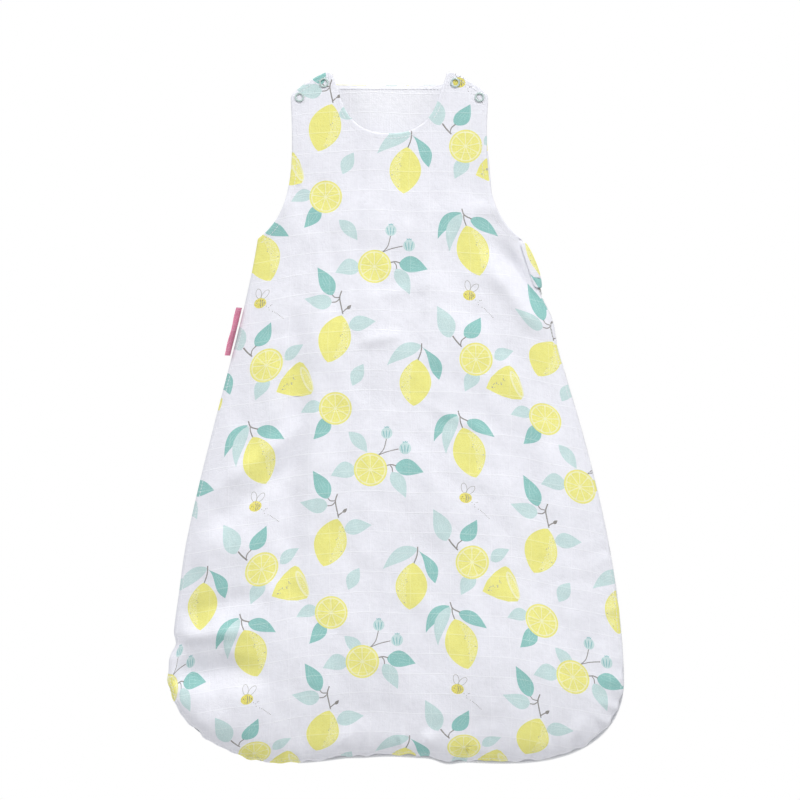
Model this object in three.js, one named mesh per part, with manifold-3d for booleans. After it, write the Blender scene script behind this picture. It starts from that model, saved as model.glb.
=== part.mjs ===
// Baby sleeping bag, size 70 cm, hanging by its shoulders.
// Millimetres, +Z up, front towards -Y. The origin is midway between the shoulders, at their top.
import * as THREE from 'three';
import { mergeVertices } from 'three/addons/utils/BufferGeometryUtils.js';
import Module from 'manifold-3d';

const wasm = await Module();
wasm.setup();

// ---- Driving dimensions ----
const UNDERARM = { x: 134, z: -169 };
const SHOULDER_OUTER = { x: 99, z: -24 };
const SHOULDER_INNER = { x: 58.5, z: 0 };
const NECK_FRONT_Z = -63;
const NECK_BACK_Z = -11;
const HEM_MID_Z = -686;
const HEM_CORNER_Z = -695;
const HEM_BAND_Z = -640;         // everything of the outline below this height is hem
const PANEL_CORNER_Z = { right: -664, left: -660 };   // where a panel's side line turns into its hem
const TAB_BASE_Z = -48;          // the line on which a front shoulder tab folds
const LEAF_CUT_X = -120;         // the line on which the front leaf opens
const LEAF_CUT_GAP = 0.4;        // half the gap along that line
const SEAM_HALF = 2.6;           // half of the bag's thickness where front and back are sewn together
const ZIP_INSET = 5;             // from the silhouette in to the panels' edges along the zip
const SEAM_INSET = 1.5;          // the same along the sewn left seam
const STRAP_LEN_BACK = 12;       // from the shoulder's top line down to the back panel's end
const STRAP_SLACK = { outer: 0.5, inner: 2.5 };       // the back strap is narrower than the tab by these
const SHELL = [0, 1.0];          // layers of a padded panel, as depths from its outer face
const WADDING = [1.3, 3.3];
const LINING = [3.6, 4.4];
const STRAP_FOLD_R = 7.4;        // half the width of the strap folded over a hanger's arm
const STRAP_SHELL = [0, 0.9];
const STRAP_PATCH = [1.2, 1.5];
const STRAP_PATCH_AREA = { inner: 61, outer: 95, topInner: -10, topOuter: -30, bottom: -43 };
const STRAP_LINING = [1.8, 2.7];
const STRAP_FOLD_RISE = 3.5;     // and how high that fold rises above its straight legs
const STRAP_DROP = 1.2;          // the fold's top is this far below the tab's top line
const STRAP_END_Z = -46;
const TAB_PATCH = [1.3, 1.7];
const TAB_LINING = [2.0, 2.9];
const POPPERS = [{ x: 65.6, z: -12.5 }, { x: 89.9, z: -27 }];
const ZIP_TOP_Z = -180;
const ZIP_END_X = -95;
const TAPE = { inner: 12, outer: 2, near: 0.5, far: 1.1 };
const COIL = { inset: 1.2, y: 0.75, r: 0.55 };
const SLIDER_Z = -202;
const SLIDER_END_Z = -395;
const ZIP_SHIELD = { inner: 32, outer: 15, near: -0.4, far: 0.4, from: 0.02, to: 0.97 };
const SEAM_ALLOWANCE = { inner: -8, outer: -0.5, near: -1.2, far: 1.2 };
const GUARD = { top: -172, bottom: -217, thick: 2.6, narrowing: 0.4 };
const GUARD_LIP = { start: 1.5, y: -4.4, out: 6.2, back: 6 };
const LABEL = { top: -237, bottom: -285, width: 11, thick: 0.8, tilt: 67 };

// ---- Outline of the bag laid flat: x across, y of each Vector2 holding z ----
const v2 = (x, z) => new THREE.Vector2(x, z);
const bezier = (...points) => new THREE.CubicBezierCurve(...points);
const sample = (curve, steps) => curve.getPoints(steps);
const chain = (...lists) => lists.flatMap((list, i) => (i ? list.slice(1) : list));
const mirrored = (points) => points.map((p) => v2(-p.x, p.y));

const CURVE_STEPS = 40;
const underarmR = v2(UNDERARM.x, UNDERARM.z);
const underarmL = v2(-UNDERARM.x, UNDERARM.z);
const hemMid = v2(0, HEM_MID_Z);
const seamRight = chain(
  sample(bezier(underarmR, v2(170, -285), v2(233, -450), v2(236, -612)), CURVE_STEPS),
  sample(bezier(v2(236, -612), v2(236, -655), v2(206, -692), v2(130, HEM_CORNER_Z)), CURVE_STEPS),
  sample(bezier(v2(130, HEM_CORNER_Z), v2(62, -697), v2(40, HEM_MID_Z), hemMid), CURVE_STEPS),
);
const seamLeft = chain(
  sample(bezier(underarmL, v2(-152, -285), v2(-215, -450), v2(-224, -605)), CURVE_STEPS),
  sample(bezier(v2(-224, -605), v2(-224, -648), v2(-180, -688), v2(-125, HEM_CORNER_Z)), CURVE_STEPS),
  sample(bezier(v2(-125, HEM_CORNER_Z), v2(-62, -697), v2(-40, HEM_MID_Z), hemMid), CURVE_STEPS),
);
const armholeRight = chain(
  sample(bezier(underarmR, v2(108, -152), v2(98, -125), v2(97.5, -75)), CURVE_STEPS),
  sample(bezier(v2(97.5, -75), v2(97.3, -60), v2(98, -40), v2(SHOULDER_OUTER.x, SHOULDER_OUTER.z)), 12),
);
const armholeLeft = mirrored(armholeRight);
const neckRight = chain(
  sample(bezier(hemMid.clone().setY(NECK_FRONT_Z), v2(28, NECK_FRONT_Z), v2(43, -50), v2(50, -24)), CURVE_STEPS),
  sample(bezier(v2(50, -24), v2(53, -15), v2(56, -8), v2(SHOULDER_INNER.x, SHOULDER_INNER.z)), 12),
);
const neckLeft = mirrored(neckRight);

// Point of a line of points at height z; the line runs steadily up or down there.
function atHeight(points, z) {
  for (let i = 1; i < points.length; i++) {
    const a = points[i - 1];
    const b = points[i];
    if ((a.y - z) * (b.y - z) <= 0 && a.y !== b.y) {
      return a.clone().lerp(b, (z - a.y) / (b.y - a.y));
    }
  }
  const first = points[0];
  const last = points[points.length - 1];
  return Math.abs(first.y - z) < Math.abs(last.y - z) ? first.clone() : last.clone();
}

// A line of points moved sideways, to the right of its own direction for a positive distance.
function offset(points, distance) {
  return points.map((p, i) => {
    const a = points[Math.max(i - 1, 0)];
    const b = points[Math.min(i + 1, points.length - 1)];
    const along = b.clone().sub(a).normalize();
    return v2(p.x + along.y * distance, p.y - along.x * distance);
  });
}

// The stretch of a line between two fractions of its length, as a function of t from 0 to 1.
function stretch(points, from = 0, to = 1) {
  const lengths = [0];
  for (let i = 1; i < points.length; i++) {
    lengths.push(lengths[i - 1] + points[i].distanceTo(points[i - 1]));
  }
  const whole = lengths[lengths.length - 1];
  return (t) => {
    const s = (from + (to - from) * t) * whole;
    let i = 1;
    while (i < points.length - 1 && lengths[i] < s) i++;
    const share = (s - lengths[i - 1]) / (lengths[i] - lengths[i - 1]);
    return points[i - 1].clone().lerp(points[i], share);
  };
}

const straight = (a, b) => (t) => a.clone().lerp(b, t);
const upBetween = (points, zLow, zHigh) => (t) => atHeight(points, zLow + (zHigh - zLow) * t);

// ---- Depth of the bag's outer faces in front of and behind the middle plane ----
const smooth = (t) => {
  const c = Math.min(Math.max(t, 0), 1);
  return c * c * (3 - 2 * c);
};
const roundRise = (t) => Math.sqrt(1 - (1 - Math.min(Math.max(t, 0), 1)) ** 2);

// Fullness at each height, shoulder to hem, read off by straight interpolation.
const FULLNESS = {
  front: [[0, 14], [-60, 14], [-100, 14.5], [-169, 19], [-300, 27], [-450, 33], [-600, 36], [-700, 36]],
  back: [[0, 7.4], [-60, 9], [-100, 11], [-169, 16], [-300, 22], [-450, 26], [-600, 27], [-700, 27]],
};

function fullness(side, z) {
  const table = FULLNESS[side];
  let i = 1;
  while (i < table.length - 1 && z < table[i][0]) i++;
  const [zA, a] = table[i - 1];
  const [zB, b] = table[i];
  return a + (b - a) * smooth((zA - z) / (zA - zB));
}

const SEAM_RISE = 130;
const HEM_RISE = 130;
function outerDepth(side, p) {
  const z = Math.min(p.y, UNDERARM.z);
  const right = atHeight(seamRight, z).x;
  const left = atHeight(seamLeft, z).x;
  const full = fullness(side, p.y);
  const open = smooth((p.y - UNDERARM.z) / 55);
  const edge = SEAM_HALF + (full - SEAM_HALF) * open;
  const inFromSide = Math.min(right - p.x, p.x - left);
  const side01 = roundRise(inFromSide / SEAM_RISE);
  const hem01 = roundRise((p.y - HEM_CORNER_Z) / HEM_RISE);
  return edge + (full - edge) * side01 * hem01;
}

// ---- Solids ----
function merged(geometry) {
  const bare = geometry.clone();
  bare.deleteAttribute('normal');
  bare.deleteAttribute('uv');
  return mergeVertices(bare, 1e-3);
}

// Turns a geometry's faces over if they point inwards.
function facingOut(geometry) {
  const pos = geometry.attributes.position;
  const index = geometry.index.array;
  const [a, b, c] = [new THREE.Vector3(), new THREE.Vector3(), new THREE.Vector3()];
  let volume = 0;
  for (let i = 0; i < index.length; i += 3) {
    a.fromBufferAttribute(pos, index[i]);
    b.fromBufferAttribute(pos, index[i + 1]);
    c.fromBufferAttribute(pos, index[i + 2]);
    volume += a.dot(b.cross(c));
  }
  if (volume < 0) {
    for (let i = 0; i < index.length; i += 3) [index[i], index[i + 1]] = [index[i + 1], index[i]];
  }
  geometry.computeVertexNormals();
  return geometry;
}

// Cuts the quads of a block's last side along their other diagonal, so that both of its large
// faces are cut alike and nested layers stay parallel.
function alignDiagonals(geometry, quads) {
  const index = geometry.index.array;
  for (let n = index.length - quads * 6; n < index.length; n += 6) {
    const [a, b, d, , c] = index.slice(n, n + 6);
    index.set([a, b, c, a, c, d], n);
  }
}

// A block whose three sides are bent by a function of i, j, k, each counted in cells.
function bentBlock(cellsI, cellsJ, place) {
  const geometry = merged(new THREE.BoxGeometry(cellsI, cellsJ, 1, cellsI, cellsJ, 1));
  alignDiagonals(geometry, cellsI * cellsJ);
  const pos = geometry.attributes.position;
  for (let n = 0; n < pos.count; n++) {
    const i = Math.round(pos.getX(n) + cellsI / 2);
    const j = Math.round(pos.getY(n) + cellsJ / 2);
    const k = Math.round(pos.getZ(n) + 0.5);
    pos.setXYZ(n, ...place(i, j, k));
  }
  return facingOut(geometry);
}

// A patch is a flat area between four edge lines, as a function of (u, v) from 0 to 1.
function patch({ left, right, bottom, top }) {
  return (u, v) => {
    const blend = (a, b, t) => a.clone().lerp(b, t);
    const rows = blend(bottom(u), top(u), v);
    const columns = blend(left(v), right(v), u);
    const corners = blend(blend(bottom(0), bottom(1), u), blend(top(0), top(1), u), v);
    return rows.add(columns).sub(corners);
  };
}

// One layer of a padded panel: the patch between two depths from the panel's outer face.
function layer(area, side, us, vs, [outer, inner]) {
  const sign = side === 'front' ? -1 : 1;
  return bentBlock(us.length - 1, vs.length - 1, (i, j, k) => {
    const p = area(us[i], vs[j]);
    const y = sign * (outerDepth(side, p) - (k ? outer : inner));
    return [p.x, y, p.y];
  });
}

function asManifold(geometry) {
  const { attributes, index } = merged(geometry);
  return new wasm.Manifold(new wasm.Mesh({
    numProp: 3,
    vertProperties: new Float32Array(attributes.position.array),
    triVerts: new Uint32Array(index.array),
  }));
}

function fromManifold(solid) {
  const { vertProperties, triVerts } = solid.getMesh();
  const geometry = new THREE.BufferGeometry();
  geometry.setAttribute('position', new THREE.BufferAttribute(new Float32Array(vertProperties), 3));
  geometry.setIndex(new THREE.BufferAttribute(new Uint32Array(triVerts), 1));
  return facingOut(geometry);
}

// A box between two corners.
function block([x0, y0, z0], [x1, y1, z1]) {
  const box = new THREE.BoxGeometry(x1 - x0, y1 - y0, z1 - z0);
  return box.translate((x0 + x1) / 2, (y0 + y1) / 2, (z0 + z1) / 2);
}

// ---- Materials ----
const cloth = (color) => new THREE.MeshStandardMaterial({ color, roughness: 0.9, metalness: 0 });
const materials = {
  muslin: cloth(0xf2f3f7),
  wadding: cloth(0xffffff),
  lining: cloth(0xf7f8fb),
  tape: cloth(0xe6e8ee),
  patch: cloth(0xdfe2e8),
  label: cloth(0xdb7d9b),
  nylon: new THREE.MeshStandardMaterial({ color: 0xe9ebef, roughness: 0.4, metalness: 0 }),
  popper: new THREE.MeshStandardMaterial({ color: 0xc3d3d0, roughness: 0.35, metalness: 0.1 }),
};

const bag = new THREE.Group();
function add(name, geometry, material) {
  const mesh = new THREE.Mesh(geometry, materials[material]);
  mesh.name = name;
  bag.add(mesh);
  return mesh;
}

// ---- Panels ----
const STRAP_SHARE = 0.3;         // the share of a panel's columns that run up into each strap
const COLUMNS = [0, 0.05, 0.13, 0.215, STRAP_SHARE, 0.4, 0.5, 0.6, 1 - STRAP_SHARE, 0.785, 0.87, 0.95, 1];
const ROWS = [0, 0.03, 0.09, 0.17, 0.25, 0.33, 0.41, 0.49, 0.57, 0.65, 0.72, 0.79, 0.85, 0.91, 0.97, 1];
const STRIP_COLUMNS = [0, 0.12, 0.55, 0.96, 1];
const LAYERS = { shell: SHELL, wadding: WADDING, lining: LINING };
const trimEnds = (lines) => lines.slice(1, -1);

function panel(prefix, area, side, columns) {
  for (const [name, depths] of Object.entries(LAYERS)) {
    const outside = name === 'shell';
    const us = outside ? columns : trimEnds(columns);
    const vs = outside ? ROWS : trimEnds(ROWS);
    const material = outside ? 'muslin' : name;
    add(`${prefix}_${name}`, layer(area, side, us, vs, depths), material);
  }
}

const zipEdge = offset(seamRight, ZIP_INSET);                  // panel edge along the zip
const zipHemLeft = offset(seamLeft, -ZIP_INSET);
const sewnEdge = offset(seamLeft, -SEAM_INSET);
const cornerRight = atHeight(zipEdge, PANEL_CORNER_Z.right);
const cornerLeft = atHeight(sewnEdge, PANEL_CORNER_Z.left);
const inHemBand = (p) => p.y < HEM_BAND_Z;
const hemLine = chain(zipHemLeft.filter(inHemBand), [...zipEdge].reverse().filter(inHemBand));
const hemFromTo = (a, b) => {
  const between = hemLine.filter((p) => p.x > a.x && p.x < b.x && p.y < HEM_BAND_Z - 10);
  return stretch([a, ...between, b]);
};

// Joins three lines end to end into one function of u, breaking at the strap columns.
const threeWay = (first, middle, last) => (u) => {
  if (u <= STRAP_SHARE) return first(u / STRAP_SHARE);
  if (u >= 1 - STRAP_SHARE) return last((u - 1 + STRAP_SHARE) / STRAP_SHARE);
  return middle((u - STRAP_SHARE) / (1 - 2 * STRAP_SHARE));
};

// Side lines of a panel: up the seam to the underarm, then up the armhole.
const sideLine = (seam, armhole, zLow, zHigh) => (t) => {
  const z = zLow + (zHigh - zLow) * t;
  return z < UNDERARM.z ? atHeight(seam, z) : atHeight(armhole, z);
};

// Front leaf: everything right of the cut line, up to the bases of the shoulder tabs.
const cutLeafX = LEAF_CUT_X + LEAF_CUT_GAP;
const nearerTheCut = (a, b) => (Math.abs(a.x - cutLeafX) < Math.abs(b.x - cutLeafX) ? a : b);
const cutTop = armholeLeft.reduce(nearerTheCut);
const hemAtCut = zipHemLeft.filter(inHemBand).reduce(nearerTheCut);
const leafBottom = v2(cutLeafX, hemAtCut.y);
const leafLeft = (t) => {
  const z = leafBottom.y + (TAB_BASE_Z - leafBottom.y) * t;
  return z < cutTop.y ? v2(cutLeafX, z) : atHeight(armholeLeft, z);
};
const neckAtTab = atHeight(neckRight, TAB_BASE_Z);
const frontNeck = chain(
  [...neckLeft].reverse().filter((p) => p.y < TAB_BASE_Z),
  neckRight.filter((p) => p.y < TAB_BASE_Z),
);
const armAtTab = atHeight(armholeRight, TAB_BASE_Z);
const leafArea = patch({
  left: leafLeft,
  right: sideLine(zipEdge, armholeRight, cornerRight.y, TAB_BASE_Z),
  bottom: hemFromTo(leafBottom, cornerRight),
  top: threeWay(
    straight(v2(-armAtTab.x, TAB_BASE_Z), v2(-neckAtTab.x, TAB_BASE_Z)),
    stretch([v2(-neckAtTab.x, TAB_BASE_Z), ...frontNeck, v2(neckAtTab.x, TAB_BASE_Z)]),
    straight(v2(neckAtTab.x, TAB_BASE_Z), v2(armAtTab.x, TAB_BASE_Z)),
  ),
});
panel('front', leafArea, 'front', COLUMNS);

// Side strip of the front, left of the cut line, which stays with the left seam.
const cutStripX = LEAF_CUT_X - LEAF_CUT_GAP;
const stripTop = v2(cutStripX, cutTop.y - 1);
const stripBottom = v2(cutStripX, leafBottom.y);
const stripArea = patch({
  left: upBetween(sewnEdge, cornerLeft.y, UNDERARM.z),
  right: straight(stripBottom, stripTop),
  bottom: hemFromTo(cornerLeft, stripBottom),
  top: straight(atHeight(sewnEdge, UNDERARM.z), stripTop),
});
panel('side', stripArea, 'front', STRIP_COLUMNS);

// Back panel, whose straps end below the fold over the shoulder.
const backOuter = v2(SHOULDER_OUTER.x - STRAP_SLACK.outer, SHOULDER_OUTER.z - STRAP_LEN_BACK);
const backInner = v2(SHOULDER_INNER.x - STRAP_SLACK.inner, SHOULDER_INNER.z - STRAP_LEN_BACK);
const backNeck = bezier(v2(-backInner.x, backInner.y), v2(-42, NECK_BACK_Z - 1), v2(42, NECK_BACK_Z - 1), backInner);
const backArea = patch({
  left: sideLine(sewnEdge, armholeLeft, cornerLeft.y, backOuter.y),
  right: sideLine(zipEdge, armholeRight, cornerRight.y, backOuter.y),
  bottom: hemFromTo(cornerLeft, cornerRight),
  top: threeWay(
    straight(v2(-backOuter.x, backOuter.y), v2(-backInner.x, backInner.y)),
    stretch(sample(backNeck, 12)),
    straight(backInner, backOuter),
  ),
});
panel('back', backArea, 'back', COLUMNS);

// ---- Shoulders ----
const SIDES = [['left', -1], ['right', 1]];
const TAB_ROWS = [0, 0.35, 0.7, 1];
const TAB_CELLS = 5;
const TAB_GAP = 0.6;
const TAB_INSET = { shell: 0, lining: 1, patch: 3 };

// The strap's two long edges and its top line, for one side (+1 right, -1 left).
function tabArea(side, inset) {
  const arm = side > 0 ? armholeRight : armholeLeft;
  const neck = side > 0 ? neckRight : neckLeft;
  const low = TAB_BASE_Z + TAB_GAP + inset;
  const outer = (t) => atHeight(arm, low + (SHOULDER_OUTER.z - inset - low) * t).add(v2(-side * inset, 0));
  const inner = (t) => {
    const z = low + (SHOULDER_INNER.z - inset - low) * t;
    const corner = 5 * smooth((t - 0.75) / 0.25) ** 2;          // the rounded inner corner
    return atHeight(neck, z).add(v2(side * (inset + corner), 0));
  };
  return patch({
    left: outer, right: inner, bottom: straight(outer(0), inner(0)), top: straight(outer(1), inner(1)),
  });
}

const TAB_DEPTH = FULLNESS.front[0][1];
function tabLayer(side, inset, [outer, inner]) {
  const area = tabArea(side, inset);
  return bentBlock(TAB_CELLS, TAB_ROWS.length - 1, (i, j, k) => {
    const p = area(i / TAB_CELLS, TAB_ROWS[j]);
    return [p.x, -(TAB_DEPTH - (k ? outer : inner)), p.y];
  });
}

// The back strap: up from the back panel, over the shoulder and down behind the tab.
const STRAP_CELLS = 3;
const FOLD_CELLS = 10;
const STRAP_MARGIN = 1;          // the strap is this much narrower, at each edge, than the panel's end
const STRAP_FOOT_GAP = 0.4;
function strapLayer(side, [outer, inner], from, to) {
  const topAt = (x) => {
    const share = (x - SHOULDER_INNER.x) / (SHOULDER_OUTER.x - SHOULDER_INNER.x);
    return SHOULDER_INNER.z + share * (SHOULDER_OUTER.z - SHOULDER_INNER.z) - STRAP_DROP - STRAP_FOLD_RISE;
  };
  return bentBlock(STRAP_CELLS, FOLD_CELLS + 2, (i, j, k) => {
    const depth = k ? outer : inner;
    const r = STRAP_FOLD_R - depth;
    const x = backInner.x + STRAP_MARGIN + (backOuter.x - backInner.x - 2 * STRAP_MARGIN) * (i / STRAP_CELLS);
    const top = topAt(x);
    if (j === 0) return [side * x, r, from(x, top)];
    if (j === FOLD_CELLS + 2) return [side * x, -r, to];
    const angle = Math.PI * ((j - 1) / FOLD_CELLS);
    return [side * x, r * Math.cos(angle), top + (STRAP_FOLD_RISE - depth) * Math.sin(angle)];
  });
}
const strapFoot = (x, top) => top + STRAP_DROP + STRAP_FOLD_RISE - STRAP_LEN_BACK + STRAP_FOOT_GAP;

// A solid of revolution about Y, from a profile of [radius, height] corners.
function turned(profile) {
  return merged(new THREE.LatheGeometry(profile.map(([x, y]) => v2(x, y)), 16));
}

function ringOf({ r, hole, thick }) {
  const lip = thick * 0.3;
  return turned([[hole, 0], [r, 0], [r, thick - lip], [r - lip, thick],
    [hole + lip, thick], [hole, thick - lip], [hole, 0]]);
}

// Poppers lie on the Y axis; a turned shape's own +Y points to the front once it is flipped.
const tabInner = TAB_DEPTH - TAB_LINING[1];
const SOCKET = { r: 4.2, thick: 1.8, recessR: 2.6, recess: 1.3 };
const STUD = { r: 3.8, base: 0.8, postR: 1.4, post: 1.4, chamfer: 0.3 };
const RING = { r: 4.75, hole: 3.1, thick: 1.1 };
const BACK_RING = { r: 3.2, hole: 1.9, thick: 0.8 };
const GAP = 0.3;
function placeOnShoulder(geometry, x, y, z, facesFront) {
  const turn = facesFront ? Math.PI : 0;
  return facingOut(geometry.rotateZ(turn).translate(x, y, z));
}

const socketProfile = [[0, 0], [SOCKET.r, 0], [SOCKET.r, SOCKET.thick], [SOCKET.recessR, SOCKET.thick],
  [SOCKET.recessR, SOCKET.thick - SOCKET.recess], [0, SOCKET.thick - SOCKET.recess]];
const studProfile = [[0, 0], [STUD.r, 0], [STUD.r, STUD.base], [STUD.postR, STUD.base],
  [STUD.postR, STUD.base + STUD.post - STUD.chamfer], [STUD.postR - STUD.chamfer, STUD.base + STUD.post],
  [0, STUD.base + STUD.post]];
let popperNumber = 0;
for (const [name, side] of SIDES) {
  add(`front_tab_${name}`, tabLayer(side, TAB_INSET.shell, SHELL), 'muslin');
  add(`tab_patch_${name}`, tabLayer(side, TAB_INSET.patch, TAB_PATCH), 'patch');
  add(`front_tab_lining_${name}`, tabLayer(side, TAB_INSET.lining, TAB_LINING), 'lining');
  add(`back_strap_${name}`, strapLayer(side, STRAP_SHELL, strapFoot, STRAP_END_Z), 'muslin');
  add(`back_strap_lining_${name}`, strapLayer(side, STRAP_LINING, strapFoot, STRAP_END_Z + 1), 'lining');

  const legFace = -STRAP_FOLD_R;
  add(`strap_patch_${name}`, bentBlock(1, 1, (i, j, k) => {
    const { inner, outer, topInner, topOuter, bottom } = STRAP_PATCH_AREA;
    const z = j ? (i ? topOuter : topInner) : bottom;
    return [side * (i ? outer : inner), legFace + STRAP_PATCH[k], z];
  }), 'patch');

  for (const { x, z } of POPPERS) {
    popperNumber += 1;
    const at = side * x;
    const ringY = legFace + STRAP_LINING[1] + GAP;
    const parts = [
      ['cap', ringOf(RING), -TAB_DEPTH - GAP, true],
      ['socket', turned(socketProfile), -tabInner + GAP, false],
      ['stud', turned(studProfile), legFace - GAP, true],
      ['ring', ringOf(BACK_RING), ringY, false],
    ];
    for (const [part, geometry, y, facesFront] of parts) {
      add(`popper_${part}_${popperNumber}`, placeOnShoulder(geometry, at, y, z, facesFront), 'popper');
    }
  }
}

// ---- Zip ----
const zipRun = chain(
  [atHeight(seamRight, ZIP_TOP_Z), ...seamRight.filter((p) => p.y < ZIP_TOP_Z)],
  [...seamLeft].reverse().filter((p) => p.x > ZIP_END_X && inHemBand(p)),
);
const ZIP_CELLS = 44;
const ALLOWANCE_CELLS = 24;
// A flat strip along a line: from `inner` to `outer` inside it, and `near` to `far` in depth.
function strip(run, cells, width) {
  const { from = 0, to = 1 } = width;
  const inner = stretch(offset(run, width.inner), from, to);
  const outer = stretch(offset(run, width.outer), from, to);
  return bentBlock(1, cells, (i, j, k) => {
    const p = (i ? inner : outer)(j / cells);
    return [p.x, k ? width.far : width.near, p.y];
  });
}

// A round coil along the zip, from a cylinder whose height follows the zip's line.
function coil(y) {
  const line = stretch(offset(zipRun, COIL.inset));
  const geometry = merged(new THREE.CylinderGeometry(COIL.r, COIL.r, 1, 6, ZIP_CELLS));
  const pos = geometry.attributes.position;
  for (let n = 0; n < pos.count; n++) {
    const t = pos.getY(n) + 0.5;
    const here = line(t);
    const along = line(Math.min(t + 0.002, 1)).sub(line(Math.max(t - 0.002, 0))).normalize();
    const across = pos.getX(n);
    pos.setXYZ(n, here.x + along.y * across, y + pos.getZ(n), here.y - along.x * across);
  }
  return facingOut(geometry);
}

add('zip_tape_front', strip(zipRun, ZIP_CELLS, { ...TAPE, near: -TAPE.near, far: -TAPE.far }), 'tape');
add('zip_tape_back', strip(zipRun, ZIP_CELLS, TAPE), 'tape');
add('zip_coil_front', coil(-COIL.y), 'nylon');
add('zip_coil_back', coil(COIL.y), 'nylon');
add('zip_shield', strip(zipRun, ALLOWANCE_CELLS, ZIP_SHIELD), 'lining');

// The stops span both coils, a little beyond each end of them.
const STOP_HALF_DEPTH = 1.6;
const stop = (from, to) => block([from.x, -STOP_HALF_DEPTH, from.y], [to.x, STOP_HALF_DEPTH, to.y]);
const zipTop = atHeight(offset(seamRight, COIL.inset), ZIP_TOP_Z);
add('zip_top_stop', stop(v2(zipTop.x - 2, zipTop.y + 1.4), v2(zipTop.x + 1, zipTop.y + 4)), 'nylon');
const zipBottom = offset(zipRun, COIL.inset).at(-1);
add('zip_bottom_stop', stop(v2(zipBottom.x - 5, zipBottom.y - 1.2), v2(zipBottom.x - 1.5, zipBottom.y + 1.2)), 'nylon');

// Left seam allowance, from the underarm round to the zip's end.
const seamRun = seamLeft.filter((p) => p.x < ZIP_END_X - 8);
add('side_seam', strip(seamRun, ALLOWANCE_CELLS, { ...SEAM_ALLOWANCE, from: 0.01 }), 'lining');

// Slider: local x outwards from the coil, z up the chord that it travels. Its flange lies behind the
// coils only, so that the front leaf can swing off it.
const sliderAt = atHeight(seamRight, SLIDER_Z);
const sliderEnd = atHeight(seamRight, SLIDER_END_Z);
const lean = Math.atan2(sliderEnd.x - sliderAt.x, sliderAt.y - sliderEnd.y);
const SLIDER = { inner: -3.3, outer: 3.7, halfDepth: 3, halfLength: 5.5 };
const CHANNEL = { outer: 1.2, back: 1.5 };
const BAR = { y: 5.2, z: 2, r: 0.7 };
const POST = { width: 0.7, rootY: 2.5, top: 4 };
const barBetween = (x0, x1, r, y, z) => new THREE.CylinderGeometry(r, r, x1 - x0, 12)
  .rotateZ(Math.PI / 2).translate((x0 + x1) / 2, y, z);
const post = (x) => asManifold(block([x, POST.rootY, 0], [x + POST.width, BAR.y + 1, POST.top]));
const { inner: bodyInner, outer: bodyOuter, halfDepth, halfLength } = SLIDER;
const sliderBody = asManifold(block([bodyInner, -halfDepth, -halfLength], [bodyOuter, halfDepth, halfLength]))
  .subtract(asManifold(block([bodyInner - 1, -halfDepth - 1, -halfLength - 1],
    [CHANNEL.outer, CHANNEL.back, halfLength + 1])))
  .add(post(bodyInner))
  .add(post(bodyOuter - POST.width))
  .add(asManifold(barBetween(bodyInner + 0.2, bodyOuter - 0.2, BAR.r, BAR.y, BAR.z)));
const PULLER = { half: 2.5, thick: 0.6, length: 25, hole: 1.1, head: 1.9, middle: 0.2, eyeR: 1.3, eyeUp: 4 };
const pullLeft = PULLER.middle - PULLER.half;
const pullRight = PULLER.middle + PULLER.half;
const eye = new THREE.CylinderGeometry(PULLER.eyeR, PULLER.eyeR, 4, 12)
  .translate(PULLER.middle, BAR.y, BAR.z - PULLER.length + PULLER.eyeUp);
const pullerBody = asManifold(block([pullLeft, BAR.y - PULLER.thick, BAR.z - PULLER.length],
  [pullRight, BAR.y + PULLER.thick, BAR.z]))
  .add(asManifold(barBetween(pullLeft, pullRight, PULLER.head, BAR.y, BAR.z)))
  .subtract(asManifold(barBetween(pullLeft - 1, pullRight + 1, PULLER.hole, BAR.y, BAR.z)))
  .subtract(asManifold(eye));
for (const [name, body] of [['zip_slider', sliderBody], ['zip_puller', pullerBody]]) {
  const mesh = add(name, fromManifold(body), 'nylon');
  mesh.position.set(sliderAt.x, 0, sliderAt.y);
  mesh.rotation.y = -lean;
}

// Guard: a padded hood over the zip's top, with a front lip and an outer wall, open behind.
const GUARD_CELLS = 8;
const guardInner = [[GUARD_LIP.start, GUARD_LIP.y], [GUARD_LIP.out, GUARD_LIP.y], [GUARD_LIP.out, GUARD_LIP.back]];
const guardOuter = [
  [GUARD_LIP.start, GUARD_LIP.y - GUARD.thick],
  [GUARD_LIP.out + GUARD.thick, GUARD_LIP.y - GUARD.thick],
  [GUARD_LIP.out + GUARD.thick, GUARD_LIP.back],
];
add('zip_guard', bentBlock(2, GUARD_CELLS, (i, j, k) => {
  const t = j / GUARD_CELLS;
  const z = GUARD.bottom + (GUARD.top - GUARD.bottom) * t;
  const edge = atHeight(seamRight, z).x;
  const [out, y] = (k ? guardOuter : guardInner)[i];
  const bulge = 1 - GUARD.narrowing * smooth((t - 0.5) / 0.5);    // narrower towards the underarm
  return [edge + out * bulge, y, z];
}), 'muslin');

// Label: a folded tab along the left seam, tilted out of the bag's plane.
const tilt = THREE.MathUtils.degToRad(LABEL.tilt);
add('side_label', bentBlock(1, 4, (i, j, k) => {
  const z = LABEL.bottom + (LABEL.top - LABEL.bottom) * (j / 4);
  const edge = atHeight(seamLeft, z).x - 1;
  const reach = i * LABEL.width;
  const thick = (k - 0.5) * LABEL.thick;
  return [
    edge - reach * Math.cos(tilt) - thick * Math.sin(tilt),
    -0.5 - reach * Math.sin(tilt) + thick * Math.cos(tilt),
    z,
  ];
}), 'label');

export default bag;
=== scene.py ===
"""Baby sleeping bag of printed muslin, hanging by its shoulders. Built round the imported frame, in metres."""
import math

import bpy
import numpy as np
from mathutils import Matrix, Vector
from mathutils.geometry import delaunay_2d_cdt


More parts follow.
